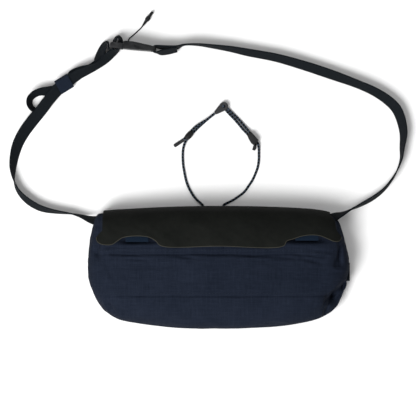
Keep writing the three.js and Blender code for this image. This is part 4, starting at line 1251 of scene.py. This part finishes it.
def flap_skin():
    """The flap's outer face before it is cut: the bag's upper skin, moved outwards."""
    bm = body_skin(relieved=False)
    gone = []
    for face in bm.faces:
        middle = face.calc_center_median()
        if middle.y < FLAP_LOWEST or middle.z < FLAP_LEVEL:
            gone.append(face)
    bmesh.ops.delete(bm, geom=gone, context="FACES")
    moved(bm, [(vert, vert.normal * (flap_stand(vert.co) + FLAP_THICK + flap_dents(vert.co)))
               for vert in bm.verts])
    return bm


def flap_cutter(looks):
    """An upright block with the flap's outline. Its sides leave the cut edge's look."""
    bm = bmesh.new()
    outline = flap_outline()
    ring = bmesh.ops.create_circle(bm, cap_ends=True, segments=len(outline), radius=1)["verts"]
    for vert, place in zip(ring, outline):
        vert.co = (place.x, place.y, FLAP_FOOT)
    raised = bmesh.ops.extrude_face_region(bm, geom=bm.faces[:])["geom"]
    lifted = [item for item in raised if isinstance(item, bmesh.types.BMVert)]
    bmesh.ops.translate(bm, vec=(0, 0, 2 * DEPTH), verts=lifted)
    for side in bm.faces:
        side.material_index = 1
    bmesh.ops.recalc_face_normals(bm, faces=bm.faces)
    return object_of("flap_cutter", bm, looks)


def flap(facing, edge_look):
    """The facing is cut by its outline out of a sheet that follows the bag's skin."""
    looks = [facing, edge_look]
    bm = flap_skin()
    outer = BVHTree.FromBMesh(bm)
    sheet = object_of("flap_sheet", bm, looks)
    thicken(sheet, FLAP_THICK)
    cutter = flap_cutter(looks)
    cut = sheet.modifiers.new("outline", "BOOLEAN")
    cut.operation = "INTERSECT"
    cut.solver = "EXACT"
    cut.object = cutter
    cut.material_mode = "INDEX"
    ready = sheet.evaluated_get(bpy.context.evaluated_depsgraph_get())
    result = bmesh.new()
    result.from_mesh(ready.to_mesh())
    ready.to_mesh_clear()
    bpy.data.objects.remove(sheet)
    bpy.data.objects.remove(cutter)
    sheet = make("flap_facing_sheet", result, looks, ["flap"], sharp=40)
    flap_edge(outer, edge_look)


def flap_edge(outer, look):
    """The raw cut edge, a slightly rounded pale line that starts at the table's third row and
    ends at the third before its last."""
    first = 2 * FLAP_STEPS
    corners = 2
    proud, outwards = 0.1, 0.25
    outline = flap_outline()[first:-(3 * FLAP_STEPS + corners)]
    points = []
    for spot, way in with_ways(fine_line(outline, 1.0)):
        hit, normal, _, _ = outer.ray_cast(Vector((spot.x, spot.y, 2 * DEPTH)), -UP)
        points.append(hit - normal * (EDGE_THICK / 2 - proud) + way.cross(UP) * outwards)
    section = round_section(EDGE_THICK, 10)
    make("flap_rim", swept(section, side_frames(points)), [look])


# Webbing loops and tabs

def folded(points, width, thick, across):
    """A band of webbing that follows a line in a plane square to across."""
    frames = [(point, across, along.cross(across))
              for point, along in with_ways(fine_line(points, 0.4))]
    return swept(band_section(width, thick, flats=16), frames)


# Side view of a webbing loop: way up from its low end, and height above the bag
LOOP_FOLD = [(LOOP_DEPTH - 1, 1.75), (12, 1.75), (6, 1.75), (2.2, 1.75), (1.0, 1.62), (0.5, 1.12),
             (1.0, 0.62), (2.2, 0.5), (6, 0.5), (12, 0.5), (LOOP_DEPTH - 1, 0.5)]


def loop_piece(name, node, place, tree, look):
    """A webbing loop that follows the bag, with its fold in one of the flap's cut-outs."""
    x, low = place
    points = []
    for above, lift in LOOP_FOLD:
        hit, _, _, _ = tree.ray_cast(Vector((x, low + above, 2 * DEPTH)), -UP)
        points.append(hit + UP * lift)
    bm = folded(points, LOOP_WIDTH, LOOP_THICK, Vector((1, 0, 0)))
    make(name, bm, [look], [node])


def doubled(root, end, middle, half, bend, bend_half):
    """Side view of webbing folded double, as reach and height from its root, round its end and
    back. The bend starts a little before the end."""
    upper = [(root, half), (end - 2, half), (end - bend, bend_half)]
    lower = [(reach, -height) for reach, height in reversed(upper)]
    return [(reach, middle + height) for reach, height in [*upper, (end, 0), *lower]]


def end_tab(webbing):
    """The small tab out of the right end's seam."""
    y = 9.2 - 0.20 * HALF_HEIGHT
    fold = doubled(145.5, HALF_WIDTH + 0.1, 0.28 * DEPTH - 0.9, 0.45, 0.6, 0.42)
    line = [(reach, y, height) for reach, height in fold]
    bm = folded(line, END_TAB_WIDTH, END_TAB_THICK, Vector((0, 1, 0)))
    make("end_tab", bm, [webbing], ["side_tab"])


def top_tab(webbing):
    """The tab in the top seam that the elastic comes out of, hidden by the bag's edge."""
    x = -0.032 * HALF_WIDTH
    fold = doubled(62.5, 0.985 * HALF_HEIGHT, 1.6, 0.7, 0.7, 0.6)
    line = [(x, reach, height) for reach, height in fold]
    bm = folded(line, TOP_TAB_WIDTH, TOP_TAB_THICK, Vector((1, 0, 0)))
    make("top_tab", bm, [webbing], ["cord_tab"])


# The strap

LEFT_CORNER = Vector((-0.887 * HALF_WIDTH, 0.745 * HALF_HEIGHT, 0))
RIGHT_CORNER = Vector((0.886 * HALF_WIDTH, 0.80 * HALF_HEIGHT, 0))
CORNER_LIFT = 0.30 * DEPTH
BUCKLE_START = LEFT_CORNER + Vector((0.078 * STRAP_REACH, STRAP_RISE, 0))
BUCKLE_ANGLE = math.radians(-5.9)
BODY_END = LADDER_LENGTH + GAP + BODY_LENGTH
BAR_MIDDLE = 0.08 * BODY_THICK
BUCKLE_LIFT = (BUCKLE_HEIGHT - STRAP_WIDTH) / 2
KEEPER_ROW = len(LEFT_ROUTE) + 0.5
KEEPER_SKEW = 7
# Where the tail lies under the left strap, in rows of its route from the keeper's middle
UNDER_KEEPER = (0.55, 0.25, 0, -0.25, -0.5)


def from_buckle(u, v):
    """The point u along the buckle and v across it, in millimetres from its near end."""
    return BUCKLE_START + Matrix.Rotation(BUCKLE_ANGLE, 3, "Z") @ Vector((u, v, 0))


def rest_height(roll):
    """Height of a strap's middle when a strap rolled by this much just touches the floor."""
    return (STRAP_WIDTH * abs(math.sin(roll)) + STRAP_THICK * abs(math.cos(roll))) / 2


class Route:
    """A strap laid through rows of point, roll in degrees and lift in millimetres."""

    def __init__(self, rows):
        self.points = [row[0] for row in rows]
        self.rolls = [row[1] for row in rows]
        self.lifts = [row[2] for row in rows]
        self.last = len(rows) - 1

    def centre(self, place):
        place = min(max(place, 0.0), self.last)
        roll = math.radians(between(self.rolls, place))
        point = curve_point(self.points, place)
        point.z = FLOOR_GAP + rest_height(roll) + between(self.lifts, place)
        return point, roll

    def frame(self, place):
        point, roll = self.centre(place)
        along = (self.centre(place + 0.02)[0] - self.centre(place - 0.02)[0]).normalized()
        side = UP.cross(along).normalized()
        across = side * math.cos(roll) + along.cross(side) * math.sin(roll)
        return point, across, along.cross(across)

    def frames(self, step=1.6):
        """Frames at nearly even steps along the strap."""
        found = []
        for row in range(self.last):
            length = (self.points[row + 1] - self.points[row]).length
            count = max(2, math.ceil(length / step))
            found += [self.frame(row + k / count) for k in range(count)]
        return found + [self.frame(self.last)]


def left_route():
    rows = [(LEFT_CORNER + Vector((x * STRAP_REACH, y * STRAP_RISE, 0)), roll, lift * CORNER_LIFT)
            for x, y, roll, lift in LEFT_ROUTE]
    rows += [(from_buckle(u * LADDER_LENGTH, v * LADDER_LENGTH), roll, lift * CORNER_LIFT)
             for u, v, roll, lift in LEFT_ROUTE_END]
    return Route(rows)


def tail_route(left):
    """Through the ladder, back under the strap to the keeper and out into a loop."""
    rows = [(from_buckle(u * LADDER_LENGTH, v * LADDER_LENGTH), roll, lift * CORNER_LIFT)
            for u, v, roll, lift in TAIL_ROUTE]
    for shift in UNDER_KEEPER:
        point, across, face = left.frame(KEEPER_ROW + shift)
        roll = left.centre(KEEPER_ROW + shift)[1]
        under = point - face * LAYER_STEP
        lift = under.z - rest_height(roll) - FLOOR_GAP
        rows.append((Vector((under.x, under.y, 0)), 180 - math.degrees(roll), lift))
    end = rows[-1][0]
    rows += [(end + Vector((x, y, 0)) * KEEPER_LENGTH, roll, lift * CORNER_LIFT)
             for x, y, roll, lift in TAIL_LOOP]
    return Route(rows)


def right_route():
    rows = [(from_buckle(BODY_END + u * BODY_THICK, BAR_MIDDLE + v * BODY_THICK), roll, BUCKLE_LIFT)
            for u, v, roll in FOLD_ROUTE]
    start = from_buckle(BODY_END, BAR_MIDDLE)
    way = RIGHT_CORNER - start
    rows += [(start + Vector((x * way.x, y * way.y, 0)), roll, lift * CORNER_LIFT)
             for x, y, roll, lift in RIGHT_ROUTE]
    return Route(rows)


def keeper(left, look):
    """A band of webbing sewn round both layers of the strap."""
    arc_steps = 5
    spacing = 1.2
    point, across, face = left.frame(KEEPER_ROW)
    across = Matrix.Rotation(math.radians(-KEEPER_SKEW), 3, face) @ across
    along = across.cross(face)
    middle = point - face * (LAYER_STEP / 2)
    beside, over = 0.85, 1.0
    half_width = STRAP_WIDTH / 2 + beside
    half_height = LAYER_STEP / 2 + STRAP_THICK / 2 + over
    to_side, to_face = half_width - KEEPER_CORNER, half_height - KEEPER_CORNER
    frames = []
    for sign_a, sign_f, start in ((1, 1, 0), (-1, 1, 90), (-1, -1, 180), (1, -1, 270)):
        centre = middle + across * sign_a * to_side + face * sign_f * to_face
        for step in range(arc_steps + 1):
            turn = math.radians(start + 90 * step / arc_steps)
            out = across * math.cos(turn) + face * math.sin(turn)
            frames.append((centre + out * KEEPER_CORNER, along, out))
    frames.append(frames[0])
    dense = []
    for (a, _, out_a), (b, _, out_b) in zip(frames, frames[1:]):
        count = max(1, math.ceil((b - a).length / spacing))
        for k in range(count):
            share = k / count
            dense.append((a.lerp(b, share), along, out_a.lerp(out_b, share).normalized()))
    bm = swept(band_section(KEEPER_LENGTH, KEEPER_THICK, flats=14), dense + [frames[-1]])
    make("keeper_band", bm, [look], ["strap_keeper"])


def straps(webbing, bright):
    section = band_section(STRAP_WIDTH, STRAP_THICK)
    left = left_route()
    make("left_webbing", swept(section, left.frames()), [webbing], ["strap_left"])
    tail = tail_route(left)
    make("tail_webbing", swept(section, tail.frames(1.0)), [webbing], ["strap_tail"])
    right = right_route()
    make("right_webbing", swept(section, right.frames()), [webbing], ["strap_right"])
    keeper(left, bright)


# Stitches

def stitches(name, spots, look, size=(1.25, 0.24, 0.22)):
    """Short stitches, one at each spot of point, way and normal."""
    bm = bmesh.new()
    for point, way, normal in spots:
        side = normal.cross(way).normalized()
        turn = Matrix((way, side, normal)).transposed().to_4x4()
        place = Matrix.Translation(point) @ turn @ Matrix.Diagonal((*size, 1))
        bmesh.ops.create_icosphere(bm, subdivisions=1, radius=1, matrix=place)
    make(name, bm, [look])


def skin_stitches(tree, x_from, x_to, y_at, step=3.6):
    """Spots at even steps on the cloth along a seam."""
    spots = []
    count = int((x_to - x_from) / step)
    for k in range(count):
        x = x_from + (k + 0.5) * step
        place, normal, _, _ = tree.ray_cast(Vector((x, y_at(x), 2 * DEPTH)), -UP)
        way = Vector((1, 0, 0)) - normal * normal.x
        spots.append((place + normal * 0.1, way.normalized(), normal))
    return spots


def all_stitches(tree, look):
    spots = skin_stitches(tree, SEAM["left"], SEAM["right"], lambda x: SEAM["y"] + 1.7)
    stitches("seam_stitches", spots, look)
    spots = skin_stitches(tree, HEM["left"], HEM["right"], lambda x: hem_at(x) + 1.6)
    stitches("hem_stitches", spots, look)


def main():
    camera()
    floor()
    studio()
    elastic = elastic_look()
    grey = plastic_look("grey_plastic", (0.0140, 0.0143, 0.0152, 1), (0.0270, 0.0275, 0.0290, 1))
    dark = plastic_look("dark_plastic", (0.0060, 0.0063, 0.0067, 1), (0.0150, 0.0157, 0.0165, 1))
    cord_pieces(grey, dark)
    elastic_cords(elastic)
    pull_string(string_look())
    cloth = cloth_look()
    facing = facing_look("flap_nap", (0.0033, 0.0038, 0.0034, 1), (0.0080, 0.0086, 0.0076, 1))
    cut_edge = facing_look("flap_cut_edge", (0.020, 0.0195, 0.015, 1), (0.042, 0.040, 0.031, 1))
    webbing = webbing_look("navy_webbing", (0.0014, 0.0020, 0.0026, 1), (0.0092, 0.0120, 0.0150, 1))
    bright = webbing_look("blue_webbing", (0.0022, 0.0042, 0.0085, 1), (0.0125, 0.0180, 0.0310, 1))
    # The loops' webbing is the blue webbing made darker: painted shade for the flap's shadow over the
    # loops.
    loop_blue_painted_shade = webbing_look("loop_webbing_painted_shade", (0.0016, 0.0040, 0.0085, 1), (0.0056, 0.0120, 0.0235, 1))
    thread = webbing_look("thread", (0.0095, 0.0130, 0.0200, 1), (0.0170, 0.0215, 0.0310, 1))
    tree = body(cloth)
    bridged = smooth_tree()
    back(cloth)
    zip_closure(zip_look())
    flap(facing, cut_edge)
    loop_piece("left_loop", "webbing_loop_left", LOOP_PLACES[0], bridged, loop_blue_painted_shade)
    loop_piece("right_loop", "webbing_loop_right", LOOP_PLACES[1], bridged, loop_blue_painted_shade)
    end_tab(webbing)
    top_tab(webbing)
    straps(webbing, bright)
    make("ladder", softened("buckle_ladder", 0.5), [grey], ["buckle_ladder"], sharp=50)
    make("closed_buckle", softened("buckle_body", 0.7), [dark], ["buckle_body"], sharp=50)
    all_stitches(tree, thread)


main()
